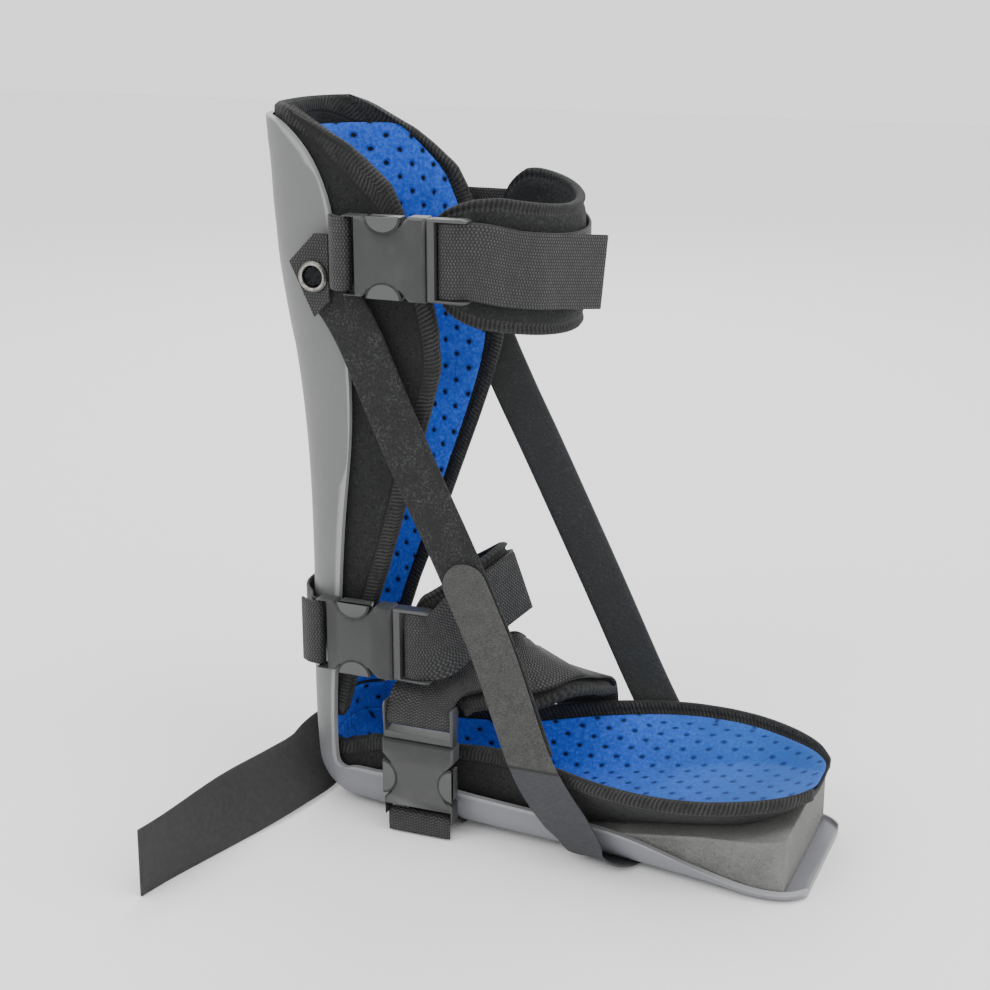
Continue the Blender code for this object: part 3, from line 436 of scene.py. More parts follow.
webbingProfile = [(1.0, 0.0), (0.99, 0.62), (0.955, 1.0), (0.72, 1.0), (0.48, 1.0), (0.24, 1.0), (0.0, 1.0)]
padProfile = [(1.0, 0.0), (0.99, 0.42), (0.96, 0.62), (0.925, 0.64), (0.89, 0.5), (0.865, 0.42), (0.84, 0.52),
              (0.78, 0.82), (0.68, 0.96), (0.5, 1.0), (0.25, 1.0), (0.0, 1.0)]


def wholeProfile(quarter):
    # The four quarters of a cross section from one, anticlockwise
    top = quarter + [(-a, h) for a, h in quarter[-2::-1]]
    return top + [(a, -h) for a, h in top[-2:0:-1]]


def grownRing(bm, ring, spots, closed):
    # The next ring of points, at the given spots, joined to the last one by faces
    edges = [bm.edges.get((ring[k], ring[k - 1])) for k in range(0 if closed else 1, len(ring))]
    grown = bmesh.ops.extrude_edge_only(bm, edges=edges)
    fresh = {g for g in grown["geom"] if isinstance(g, bmesh.types.BMVert)}
    following = []
    for vert, spot in zip(ring, spots):
        beyond = next(e.other_vert(vert) for e in vert.link_edges if e.other_vert(vert) in fresh)
        beyond.co = spot
        following.append(beyond)
    return following


def layMap(bm, places):
    laid = bm.loops.layers.uv.new("laid")
    for face in bm.faces:
        for loop in face.loops:
            loop[laid].uv = places[loop.vert]


def quarterRound(share):
    return math.sqrt(1.0 - (1.0 - min(1.0, share)) ** 2)


def upFrom(low, share):
    return low + (1.0 - low) * share


sweepSettings = {
    "startNarrow": 0.12,
    "endNarrow": 0.45,
    "endThin": 0.35,
    "wrinkleWithin": 0.95,
    "wrinkleScale": (70.0, 90.0, 3.0),
}


def sweepBand(name, stations, quarter, finish, roundStart=False, softEnds=0.0, wrinkle=0.0, roundEnds=0.0):
    form = sweepSettings
    profile = wholeProfile(quarter)
    middles = [s[0] for s in stations]
    runs = [0.0]
    for a, b in zip(middles, middles[1:]):
        runs.append(runs[-1] + (b - a).length)
    bm = bmesh.new()
    outer = bm.verts.layers.float.new("outer")
    places = {}
    ring = None
    for i, (middle, across, half, wall) in enumerate(stations):
        tangent = (middles[min(i + 1, len(middles) - 1)] - middles[max(i - 1, 0)]).normalized()
        out = tangent.cross(across).normalized()
        across = out.cross(tangent).normalized()
        fromEnd = min(runs[i], runs[-1] - runs[i])
        narrow = 1.0
        if roundStart:
            narrow = max(form["startNarrow"], quarterRound(runs[i] / half))
        if roundEnds:
            narrow = upFrom(form["endNarrow"], quarterRound(fromEnd / roundEnds))
        thin = 1.0
        if softEnds:
            thin = upFrom(form["endThin"], math.sin(min(1.0, fromEnd / softEnds) * math.pi / 2))
        spots = []
        for a, h in profile:
            ripple = 0.0
            if wrinkle and abs(a) < form["wrinkleWithin"]:
                place = zip((runs[i], a * half, h), form["wrinkleScale"])
                ripple = wrinkle * (noise.noise(Vector([value * scale for value, scale in place])) - 0.5)
            rise = h * (wall / 2 * thin + min(ripple, 0.0))
            spots.append(middle + across * (a * half * narrow) + out * rise)
        if ring is None:
            ring = [bm.verts.new(spot) for spot in spots]
            bm.faces.new(ring)
        else:
            ring = grownRing(bm, ring, spots, True)
        for vert, (a, h) in zip(ring, profile):
            places[vert] = (runs[i], a * half * narrow)
            vert[outer] = 0.5 + 0.5 * h
    bm.faces.new(ring)
    layMap(bm, places)
    bmesh.ops.recalc_face_normals(bm, faces=bm.faces)
    return newObject(name, bm, finish)


# Finishes

fullTurn = 2 * math.pi

clothSettings = {
    "liner": (0.0036, 0.0039, 0.0039),
    "linerFleck": (0.026, 0.028, 0.027),
    "pileSheen": 0.02,
    "pileTint": (0.75, 0.78, 0.78),
    "pinHole": (0.0015, 0.0015, 0.0015),
    "pinPitch": 0.0105,
    "pinRadius": 0.0010,
    "thread": (0.044, 0.045, 0.043),
    "seam": (0.003, 0.003, 0.003),
    "blue": (0.017, 0.085, 0.52),
    "blueLight": (0.058, 0.185, 0.70),
    "blueToe": (0.012, 0.075, 0.25),
    "blueDeep": (0.006, 0.032, 0.20),
    "hole": (0.0035, 0.004, 0.007),
    "holePitch": 0.0148,
    "holeRadius": 0.00115,
    "toeShare": (0.08, 0.225, 0.0, 0.7),
    "toeFaint": (0.07, 0.20, 0.0, 0.55),
    "turnMiddle": 0.012,
    "turnRadius": 0.047,
    "stitchPitch": 0.0023,
    "stitchBand": 0.0092,
}


def dots(a, b, pitch, radius, blur):
    # Staggered rows of small round holes: 1 on the cloth, 0 in a hole
    ax, bx = (a / pitch).fract() - 0.5, (b / pitch).fract() - 0.5
    ay, by = (a / pitch + 0.5).fract() - 0.5, (b / pitch + 0.5).fract() - 0.5
    nearest = (ax * ax + bx * bx).least(ay * ay + by * by)
    inner = (radius / pitch) ** 2
    return nearest.ramp(inner * (1.0 - blur), inner * (1.0 + 2.0 * blur))


def pileFinish(name, settings):
    # Brushed black cloth, its edge stitched by the UV map's run and distance from the rim
    finish = Finish(name, settings["liner"], 0.95)
    fuzz = finish.grain(760.0, 4.0, 0.75)
    tufts = finish.cells(620.0)
    patches = finish.grain(45.0, 3.0, 0.6)
    speck = (fuzz.ramp(0.46, 0.72) * patches.ramp(0.3, 0.7, 0.25, 1.0)).least(1.0)
    colour = finish.blend(speck, settings["liner"], settings["linerFleck"])
    x, y, z = finish.axes(finish.place())
    holes = dots(x + y * 0.4, z, settings["pinPitch"], settings["pinRadius"], 0.4)
    colour = finish.blend(holes.ramp(0.0, 1.0, 0.75, 0.0), colour, settings["pinHole"])
    height = fuzz * 0.7 + (1.0 - tufts) * 0.4 + holes * 0.9
    run, depth = finish.surface()
    band = 1.0 - depth.ramp(settings["stitchBand"] * 0.86, settings["stitchBand"])
    uneven = finish.grain(230.0, 2.0, 0.5)
    slant = run + depth * 0.45 + uneven * 0.0011
    ridge = ((slant / settings["stitchPitch"]) * fullTurn).sine().ramp(-0.35, 0.75)
    faded = finish.grain(75.0, 2.0, 0.6).ramp(0.3, 0.62, 0.25, 1.0)
    thread = band * depth.ramp(0.0010, 0.0024) * ridge * faded
    colour = finish.blend(thread * 0.6, colour, settings["thread"])
    seam = 1.0 - ((depth - settings["stitchBand"]).absolute()).ramp(0.0003, 0.0010)
    colour = finish.blend(seam * 0.8, colour, settings["seam"])
    height = height + thread * 0.6 - seam * 1.4
    finish.paint(colour=colour)
    finish.bump(height, 0.0006, 0.9)
    return finish.sheen(settings["pileSheen"], 0.5, settings["pileTint"])


def liningFinish(name, settings, foot):
    finish = Finish(name, settings["blue"], 0.85)
    x, y, z = finish.axes(finish.place())
    if foot:
        a, b = finish.surface()
    else:
        a = (y.turn(settings["turnMiddle"] - x)) * settings["turnRadius"]
        b = z
    wobble = finish.grain(520.0, 1.0, 0.5) * 0.0009 - 0.00045
    holes = dots(a + wobble, b - wobble, settings["holePitch"], settings["holeRadius"], 0.3)
    heather = finish.grain(520.0, 4.0, 0.75)
    cloudy = finish.grain(26.0, 2.0, 0.5)
    colour = finish.blend(heather.ramp(0.38, 0.72), settings["blue"], settings["blueLight"])
    colour = finish.blend(cloudy.ramp(0.25, 0.6, 0.35, 0.0), colour, settings["blueDeep"])
    if foot:
        colour = finish.blend(x.ramp(*settings["toeShare"]), colour, settings["blueToe"])
        holes = holes.most(x.ramp(*settings["toeFaint"]) * 0.8)
    rim = dots(a, b, settings["holePitch"], settings["holeRadius"] * 1.7, 0.5)
    colour = finish.blend(rim.ramp(0.0, 1.0, 0.45, 0.0), colour, settings["blueDeep"])
    colour = finish.blend(holes, settings["hole"], colour)
    finish.paint(colour=colour)
    finish.bump(heather * 0.35 + rim * 0.5 + holes * 1.6, 0.0007, 0.8)
    finish.shader.inputs["Specular IOR Level"].default_value = 0.25
    return finish.sheen(0.05, 0.5, (0.5, 0.65, 1.0))


webbingSettings = {
    "dark": (0.005, 0.0052, 0.0054),
    # The crowns' lighter colour is a painted highlight on the black yarn
    "light": (0.050, 0.051, 0.050),
    "ribPitch": 0.00155,
    "yarnPitch": 0.0031,
    "tabEdge": 0.0003,
}


def webbingFinish(name, settings, surface=True):
    # Ribs along the strap, crossed by short picks that shift by half a pick from rib to rib. The rib crowns
    # are painted lighter as painted highlight, the hollows between them darker as painted shade
    finish = Finish(name, settings["dark"], 0.62)
    if surface:
        run, side = finish.surface()
    else:
        run, _, side = finish.axes(finish.place())
    rib = ((side / settings["yarnPitch"]) * fullTurn).sine()
    shift = rib.ramp(-0.15, 0.15, 0.0, math.pi * 0.75)
    pick = ((run / settings["ribPitch"]) * fullTurn + shift).sine()
    crown = pick.ramp(-0.6, 0.9) * rib.absolute().ramp(0.15, 0.8, 0.15, 1.0)
    worn = finish.grain(210.0, 3.0, 0.7)
    # Painted highlight on the crowns, made brighter or weaker at random by the worn grain
    shade = (crown * worn.ramp(0.25, 0.75, 0.35, 1.0)).least(1.0)
    finish.paint(colour=finish.blend(shade, settings["dark"], settings["light"]))
    finish.paint(roughness=crown.ramp(0.0, 1.0, 0.75, 0.5))
    finish.bump(crown + worn * 0.25, 0.00045, 0.9)
    return finish.sheen(0.08, 0.4, (0.9, 0.9, 0.9))


stripSettings = {
    "loopDark": (0.0036, 0.0040, 0.0038),
    "loopFleck": (0.048, 0.051, 0.049),
    "hookDark": (0.022, 0.0222, 0.0215),
    "hookLight": (0.058, 0.058, 0.0545),
    "farDark": (0.026, 0.028, 0.0275),
    "farFleck": (0.052, 0.055, 0.053),
    "rearDark": (0.020, 0.020, 0.020),
    "rearLight": (0.026, 0.026, 0.026),
    "rearWeave": 0.0009,
    "foldTint": (0.030, 0.032, 0.040),
    "seamTint": (0.008, 0.008, 0.008),
    "seamHeight": 0.0575,
    "hookPitch": 0.0013,
    "selvage": (0.0128, 0.0140),
    "sheenTint": (0.8, 0.82, 0.82),
}


def loopFinish(name, settings, dark, fleck):
    finish = Finish(name, dark, 0.9)
    tufts = finish.cells(700.0)
    fuzz = finish.grain(800.0, 4.0, 0.75)
    patches = finish.grain(110.0, 3.0, 0.65)
    speck = fuzz.ramp(0.45, 0.70) * patches.ramp(0.3, 0.68, 0.2, 1.0)
    side = finish.surface()[1]
    selvage = side.absolute().ramp(*settings["selvage"])
    colour = finish.blend(speck, dark, fleck)
    finish.paint(colour=finish.blend(selvage * 0.45, colour, tuple(c * 1.1 for c in fleck)))
    finish.bump((fuzz * 0.8 + (1.0 - tufts) * 0.5) * (1.0 - selvage * 0.6), 0.0006, 0.9)
    return finish.sheen(0.02, 0.5, settings["sheenTint"])


def hookFinish(name, settings):
    # Hook tape with a folded, stitched join near its foot
    finish = Finish(name, settings["hookDark"], 0.78)
    mottle = finish.grain(1100.0, 2.0, 0.6)
    cloudy = finish.grain(150.0, 3.0, 0.7)
    z = finish.axes(finish.place())[2]
    lower = 1.0 - z.ramp(settings["seamHeight"] - 0.0006, settings["seamHeight"] + 0.0006)
    seam = 1.0 - (z - settings["seamHeight"]).absolute().ramp(0.00035, 0.0011)
    run = finish.surface()[0]
    rows = ((run / settings["hookPitch"]) * fullTurn).sine().ramp(-0.6, 0.6)
    shade = (mottle.ramp(0.35, 0.7) * 0.75 + cloudy.ramp(0.3, 0.75) * 0.35).least(1.0)
    colour = finish.blend(shade, settings["hookDark"], settings["hookLight"])
    colour = finish.blend(lower * 0.6, colour, settings["foldTint"])
    colour = finish.blend(seam * 0.85, colour, settings["seamTint"])
    finish.paint(colour=colour)
    finish.bump(mottle * 0.7 + rows * 0.25 - seam * 1.5, 0.0004, 0.8)
    return finish


def plainStripFinish(name, settings):
    finish = Finish(name, settings["rearDark"], 0.8)
    run, side = finish.surface()
    pitch = settings["rearWeave"]
    weave = ((run / pitch) * fullTurn).sine() * ((side / pitch) * fullTurn).sine()
    faint = finish.grain(300.0, 2.0, 0.6)
    colour = finish.blend(faint.ramp(0.3, 0.7), settings["rearDark"], settings["rearLight"])
    finish.paint(colour=colour)
    finish.bump(weave * 0.5 + faint * 0.4, 0.00025, 0.6)
    return finish


shellSettings = {
    "grey": (0.118, 0.120, 0.121),
    "greyDark": (0.106, 0.108, 0.109),
    "rim": (0.27, 0.273, 0.278),
    "sole": (0.190, 0.190, 0.213),
    "scuff": (0.150, 0.153, 0.156),
    "edgeRadius": 0.0011,
    "roundAbove": 42.0,
    "soleFrom": 0.052,
    "soleTo": 0.012,
}


def shellFinish(settings):
    finish = Finish("shellPlastic", settings["grey"], 0.48)
    cloudy = finish.grain(14.0, 3.0, 0.55)
    spark = finish.grain(1400.0, 1.0, 0.5)
    scuffs = finish.grain(130.0, 4.0, 0.8)
    z = finish.axes(finish.place())[2]
    colour = finish.blend(cloudy.ramp(0.3, 0.7), settings["greyDark"], settings["grey"])
    colour = finish.blend(scuffs.ramp(0.6, 0.8, 0.0, 0.35), colour, settings["scuff"])
    low = z.ramp(settings["soleTo"], settings["soleFrom"], 0.85, 0.0)
    colour = finish.blend(low, colour, settings["sole"])
    colour = finish.blend(finish.carried("rim").ramp(0.7, 1.0, 0.0, 0.75), colour, settings["rim"])
    finish.paint(colour=colour)
    finish.paint(roughness=(scuffs * 0.25 + spark * 0.12).ramp(0.05, 0.35, 0.40, 0.58))
    finish.bump(spark * 0.6 + cloudy * 0.2, 0.00016, 0.5)
    return finish


buckleSettings = {
    "black": (0.027, 0.0275, 0.028),
    "worn": (0.056, 0.057, 0.058),
    # Painted highlight: the prongs are the buckle's black plastic, painted lighter where they show in the
    # windows
    "prong": (0.062, 0.063, 0.064),
    # Painted shadow: near black half discs that stand for the shade in the buckle windows
    "groove": (0.002, 0.002, 0.002),
    "edgeRadius": 0.0006,
    "cornerRadius": 0.0028,
}


def buckleFinish(name, settings, black):
    finish = Finish(name, black, 0.34)
    grain = finish.grain(1700.0, 2.0, 0.6)
    wear = finish.grain(90.0, 4.0, 0.7)
    colour = finish.blend(wear.ramp(0.45, 0.75, 0.0, 0.6), black, settings["worn"])
    colour = finish.blend(finish.carried("rim").ramp(0.5, 1.0, 0.0, 0.45), colour, settings["worn"])
    finish.paint(colour=colour)
    finish.paint(roughness=(grain * 0.3 + wear * 0.3).ramp(0.15, 0.45, 0.30, 0.46))
    finish.bump(grain, 0.00014, 0.45)
    return finish


foamSettings = {
    "grey": (0.100, 0.100, 0.096),
    "light": (0.185, 0.185, 0.178),
    "dark": (0.045, 0.045, 0.043),
    "edgeRadius": 0.0011,
}


def foamFinish(settings):
    finish = Finish("wedgeFoam", settings["grey"], 0.93)
    crumbs = finish.cells(260.0)
    pores = finish.cells(900.0)
    cloudy = finish.grain(60.0, 3.0, 0.6)
    speck = finish.grain(1000.0, 2.0, 0.6)
    colour = finish.blend(cloudy.ramp(0.3, 0.72, 0.0, 0.45), settings["grey"], settings["light"])
    colour = finish.blend(speck.ramp(0.56, 0.72, 0.0, 0.8), colour, settings["light"])
    colour = finish.blend(speck.ramp(0.30, 0.42, 0.75, 0.0), colour, settings["dark"])
    colour = finish.blend(finish.carried("rim").ramp(0.55, 1.0, 0.0, 0.35), colour, settings["light"])
    finish.paint(colour=colour)
    finish.bump(pores * 0.8 + crumbs * 0.3 + speck * 0.4, 0.00055, 0.9)
    return finish


def eyeletFinish(name, bright, dull):
    finish = Finish(name, bright, 0.38, 1.0)
    tarnish = finish.grain(420.0, 4.0, 0.7)
    colour = finish.blend(tarnish.ramp(0.35, 0.75), bright, dull)
    finish.paint(colour=colour, roughness=tarnish.ramp(0.2, 0.8, 0.28, 0.55))
    finish.bump(tarnish, 0.0001, 0.5)
    return finish


# Liners, linings and the stitched rim

def sliceSpots(bm, point, normal):
    cut = bm.copy()
    made = bmesh.ops.bisect_plane(cut, geom=cut.verts[:] + cut.edges[:] + cut.faces[:], dist=0.0000001,
                                  plane_co=point, plane_no=normal)
    spots = [g.co.copy() for g in made["geom_cut"] if isinstance(g, bmesh.types.BMVert)]
    cut.free()
    return spots


def rimLine(bm, planes, score):
    # One point of the rim on each plane: the cut's spot with the best score
    line = []
    for point, normal, keep in planes:
        spots = [spot for spot in sliceSpots(bm, Vector(point), Vector(normal)) if keep(spot)]
        if spots:
            line.append(max(spots, key=score))
    return line


def calmed(line, rounds=2):
    # The rim line without its small steps
    for _ in range(rounds):
        line = [line[0]] + [(a + b * 2 + c) / 4 for a, b, c in zip(line, line[1:], line[2:])] + [line[-1]]
    return line


def layRim(bm, line):
    # Each point gets its run along the rim line and its distance from it, as a UV map
    pieces = []
    run = 0.0
    for a, b in zip(line, line[1:]):
        pieces.append((a, b - a, (b - a).length_squared, run))
        run += (b - a).length
    places = {}
    for vert in bm.verts:
        best = None
        for a, way, square, run in pieces:
            t = min(1.0, max(0.0, (vert.co - a).dot(way) / square)) if square else 0.0
            away = (vert.co - a - way * t).length
            if best is None or away < best[1]:
                best = (run + t * math.sqrt(square), away)
        places[vert] = best
    layMap(bm, places)


def sidePlanes(settings, axis):
    # Planes square to an axis, for the near and the far side of a liner's rim
    normal = Matrix.Identity(3)[axis]
    points = [normal * level for level in evenly(settings["lowest"], settings["highest"], settings["levels"])]
    near = [(point, normal, lambda spot: spot.y < -settings["middleClear"]) for point in points]
    far = [(point, normal, lambda spot: spot.y > settings["middleClear"]) for point in points]
    return near, far


def buildLiner(node, name, settings, rim, finish):
    # The rim is a function that gives the rim's line on the liner's own mesh
    bm = pairedCopy(node)
    bmesh.ops.subdivide_edges(bm, edges=bm.edges[:], cuts=settings["cuts"], use_grid_fill=True)
    whole = mergedCopy(node)
    layRim(bm, calmed(rim(whole, settings)))
    whole.free()
    piece = newObject(name, bm, finish)
    rounder(piece, 1)
    return dress(piece, node)


calfLinerSettings = {
    "lowest": 0.060,
    "highest": 0.352,
    "levels": 42,
    "middleClear": 0.01,
    "topHalf": 0.034,
    "topSteps": 20,
    "topAbove": 0.3,
    "cuts": 3,
    "fill": 0.45,
}


def calfRim(whole, settings):
    near, far = sidePlanes(settings, 2)
    top = [((0, y, 0), (0, 1, 0), lambda spot: spot.z > settings["topAbove"])
           for y in evenly(-settings["topHalf"], settings["topHalf"], settings["topSteps"])]
    nearLine, farLine = [rimLine(whole, planes, lambda spot: spot.x) for planes in (near, far)]
    return nearLine + rimLine(whole, top, lambda spot: spot.z) + farLine[::-1]


footLinerSettings = {
    "lowest": -0.028,
    "highest": 0.196,
    "levels": 36,
    "middleClear": 0.01,
    "toeCentre": 0.196,
    "toeReach": 88.0,
    "toeSteps": 24,
    "toeOut": 0.02,
    "cuts": 1,
    "fill": 0.4,
}


def footRim(whole, settings):
    near, far = sidePlanes(settings, 0)
    centre = Vector((settings["toeCentre"], 0.0, 0.0))
    toe = []
    for degrees in evenly(-settings["toeReach"], settings["toeReach"], settings["toeSteps"]):
        angle = math.radians(degrees)
        way = Vector((math.cos(angle), math.sin(angle), 0.0))
        toe.append((centre, way.cross(Vector((0, 0, 1))),
                    lambda spot, way=way: (spot - centre).dot(way) > settings["toeOut"]))
    nearLine, toeLine, farLine = [rimLine(whole, planes, lambda spot: spot.z) for planes in (near, toe, far)]
    return nearLine + toeLine + farLine[::-1]


footLiningSettings = {"backEnd": -0.024, "frontEnd": 0.244, "above": 0.2}


def layFootLining(bm, settings):
    # Run along the foot, and the way out from its middle over the floor and up the wall
    tree = BVHTree.FromBMesh(bm)
    places = {}
    for vert in bm.verts:
        run = min(settings["frontEnd"], max(settings["backEnd"], vert.co.x))
        hit = tree.ray_cast(Vector((run, 0.0, settings["above"])), Vector((0.0, 0.0, -1.0)))[0]
        out = abs(vert.co.y) + (max(0.0, vert.co.z - hit.z) if hit else 0.0)
        places[vert] = (vert.co.x, math.copysign(out, vert.co.y))
    layMap(bm, places)


calfLiningSettings = {"raiseFrom": 0.366, "top": 0.3796, "raise": 0.0062}


def buildLining(node, name, finish, foot=False):
    bm = pairedCopy(node)
    if foot:
        layFootLining(bm, footLiningSettings)
    else:
        lift = calfLiningSettings
        for vert in bm.verts:
            share = max(0.0, (vert.co.z - lift["raiseFrom"]) / (lift["top"] - lift["raiseFrom"]))
            vert.co.z += lift["raise"] * share
    piece = newObject(name, bm, finish)
    rounder(piece, 2)
    return dress(piece, node)


heelSkirtSettings = {
    "top": 0.0535,
    "low": 0.0365,
    "rows": 8,
    "nearReach": -38.0,
    "farReach": 78.0,
    "steps": 32,
    "insideFrom": 44.0,
    "insideTo": 56.0,
    "lift": 0.0055,
    "probes": (0.039, 0.043, 0.047, 0.051),
    "probeLift": 0.003,
    "openReach": 0.040,
    "wall": 0.0018,
    "shellGap": 0.0016,
    "trayGap": 0.0003,
}


def buildHeelSkirt(settings, finish):
    # The lining's lower edge, which hangs inside the shell behind the foot tray
    copies = [mergedCopy(node) for node in ("shell", "lining_calf", "liner_foot")]
    shell, lining, tray = [BVHTree.FromBMesh(copy) for copy in copies]
    for copy in copies:
        copy.free()

    def distance(tree, z, way):
        return tree.ray_cast(Vector((0.0, 0.0, z)), way)[3]

    bm = bmesh.new()
    insideSpan = settings["insideTo"] - settings["insideFrom"]
    ring = None
    for z in evenly(settings["top"], settings["low"], settings["rows"] + 1):
        spots = []
        for degrees in evenly(settings["nearReach"], settings["farReach"], settings["steps"] + 1):
            angle = math.radians(degrees)
            way = Vector((-math.cos(angle), math.sin(angle), 0.0))
            reach = distance(lining, settings["top"] + settings["probeLift"], way) or settings["openReach"]
            wall = distance(shell, z, way)
            if wall:
                reach = min(reach, wall - settings["shellGap"] - settings["wall"])
            hits = [distance(tray, probe, way) for probe in settings["probes"]]
            hits = [hit for hit in hits if hit]
            lift = 0.0
            turned = (degrees - settings["insideFrom"]) / insideSpan
            if hits and turned > 0.0:
                inside = min(reach, min(hits) - settings["wall"] - settings["trayGap"])
                reach += (inside - reach) * min(1.0, turned)
                lift = settings["lift"] * min(1.0, turned)
            spots.append(way * reach + Vector((0.0, 0.0, z + lift)))
        if ring is None:
            ring = [bm.verts.new(spot) for spot in spots]
            for a, b in zip(ring, ring[1:]):
                bm.edges.new((a, b))
        else:
            ring = grownRing(bm, ring, spots, False)
    for _ in range(2):
        bmesh.ops.smooth_vert(bm, verts=[v for v in bm.verts if not v.is_boundary], factor=0.5,
                              use_axis_x=True, use_axis_y=True, use_axis_z=False)
    bmesh.ops.recalc_face_normals(bm, faces=bm.faces)
    first = next(iter(bm.faces))
    if first.normal.dot(first.calc_center_median()) < 0.0:
        bmesh.ops.reverse_faces(bm, faces=bm.faces)
    piece = newObject("heelSkirt", bm, finish)
    thick = piece.modifiers.new("thick", "SOLIDIFY")
    thick.thickness = settings["wall"]
    thick.offset = 1.0
    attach(piece, "root")
    print("made", piece.name)


# Hard pieces

def buildShell(settings, finish):
    bm = pairedCopy("shell")
    roundEdges(bm, settings["edgeRadius"], 2, settings["roundAbove"])
    piece = newObject("shellTrough", bm, finish)
    rounder(piece, 1)
    return dress(piece, "shell")


hardSettings = {
    "mergeWithin": 0.00006,
    "flatWithin": 3.0,
    "sharpAbove": 38.0,
    "smallFace": 0.000008,
    "roundAbove": 30.0,
    "cornerAbove": 20.0,
    "cornerAlong": 0.95,
    "cornerLength": 0.003,
    "cornerSegments": 4,
}


def buildHard(node, name, finish, width, segments, corner=0.0, twin=None):
    # A piece with the same form as its twin takes the twin's mesh, moved to its own place
    settings = hardSettings
    bm = mergedCopy(twin or node, settings["mergeWithin"])
    if twin:
        bmesh.ops.translate(bm, verts=bm.verts, vec=cornersOf(node)[0] - cornersOf(twin)[0])
    flat = math.radians(settings["flatWithin"])
    bmesh.ops.dissolve_limit(bm, angle_limit=flat, verts=bm.verts, edges=bm.edges)
    if corner:
        posts = []
        for edge in bm.edges:
            way = (edge.verts[1].co - edge.verts[0].co).normalized()
            turned = edge.calc_face_angle(0.0) > math.radians(settings["cornerAbove"])
            along = abs(way.y) > settings["cornerAlong"]
            if turned and along and edge.calc_length() > settings["cornerLength"]:
                posts.append(edge)
        bmesh.ops.bevel(bm, geom=posts, offset=corner, offset_type="OFFSET", profile=0.5, affect="EDGES",
                        segments=settings["cornerSegments"], clamp_overlap=True, material=-1)
    roundEdges(bm, width, segments, settings["roundAbove"])
    piece = newObject(name, bm, finish)
    for polygon in piece.data.polygons:
        polygon.use_smooth = polygon.area < settings["smallFace"]
    piece.data.set_sharp_from_angle(angle=math.radians(settings["sharpAbove"]))
    return dress(piece, node)


windowSettings = {
    "along": 0.0256,
    "edge": 0.0205,
    "squash": 0.86,
    "prongRadius": 0.0088,
    "prongRise": 0.0007,
    "prongBack": 0.0022,
    "prongRounding": 0.0004,
    "roundAbove": 40.0,
    "grooveRadius": 0.0099,
    "grooveRise": 0.00015,
    "grooveDepth": 0.0018,
    "steps": 30,
    "barStart": 0.0011,
}


def halfDisc(settings, radius, side, low, high, place):
    # A half disc on the buckle's long edge, its round side towards the middle
    bm = bmesh.new()
    base = []
    for angle in evenly(0.0, math.pi, settings["steps"] + 1):
        along = settings["along"] + radius * math.cos(angle)
        across = settings["edge"] - radius * settings["squash"] * math.sin(angle)
        base.append(bm.verts.new((along, side * across, low)))
    grown = bmesh.ops.extrude_face_region(bm, geom=[bm.faces.new(base)])
    top = [g for g in grown["geom"] if isinstance(g, bmesh.types.BMVert)]
    bmesh.ops.translate(bm, verts=top, vec=(0.0, 0.0, high - low))
    bmesh.ops.transform(bm, matrix=place, verts=bm.verts)
    bmesh.ops.recalc_face_normals(bm, faces=bm.faces)
    return bm


def buildWindows(level, settings, litProngFinish, shadowGapFinish):
    # The round side windows with the prongs in them, and behind each prong a near black half disc, painted
    # shadow for the window's gap
    low, high = cornersOf(f"{level}_buckle")
    middle = (low + high) / 2
    wall = (high.y - low.y) / 2
    if level == "lower":
        origin = Vector((middle.x, middle.y, low.z - settings["barStart"]))
        rotation = Matrix(((0, 0, 1), (-1, 0, 0), (0, -1, 0))).transposed().to_4x4()
    else:
        origin = Vector((low.x - settings["barStart"], middle.y, middle.z))
        rotation = Matrix(((1, 0, 0), (0, 0, 1), (0, -1, 0))).transposed().to_4x4()
    place = Matrix.Translation(origin) @ rotation
    for side, name in ((-1.0, "Low"), (1.0, "High")):
        for kind, depth, finish in (("groove", settings["grooveDepth"], shadowGapFinish),
                                    ("prong", wall * 2 - settings["prongBack"], litProngFinish)):
            radius, rise = settings[kind + "Radius"], settings[kind + "Rise"]
            bm = halfDisc(settings, radius, side, wall - depth, wall + rise, place)
            if kind == "prong":
                roundEdges(bm, settings["prongRounding"], 2, settings["roundAbove"])
            piece = newObject(f"{level}{kind.capitalize()}{name}", bm, finish, smooth=False)
            piece.data.set_sharp_from_angle(angle=math.radians(hardSettings["sharpAbove"]))
            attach(piece, "root")
            print("made", piece.name)


eyeletSettings = {
    "bright": (0.36, 0.35, 0.32),
    "dull": (0.13, 0.125, 0.11),
    # Painted shade: colours of the dark disc that stands for the shade inside the eyelet's hole
    "holeShadeBright": (0.020, 0.021, 0.023),
    "holeShadeDull": (0.006, 0.006, 0.007),
    "core": 0.0059,
    "coreTaper": 0.8,
    "coreDepth": 0.0010,
    "coreRounding": 0.00018,
    "coreSteps": 40,
    "centre": (-0.0125, -0.0574, 0.3087),
    "wall": 0.0044,
    "radius": 0.0083,
    "hole": 0.0056,
    "steps": 48,
}


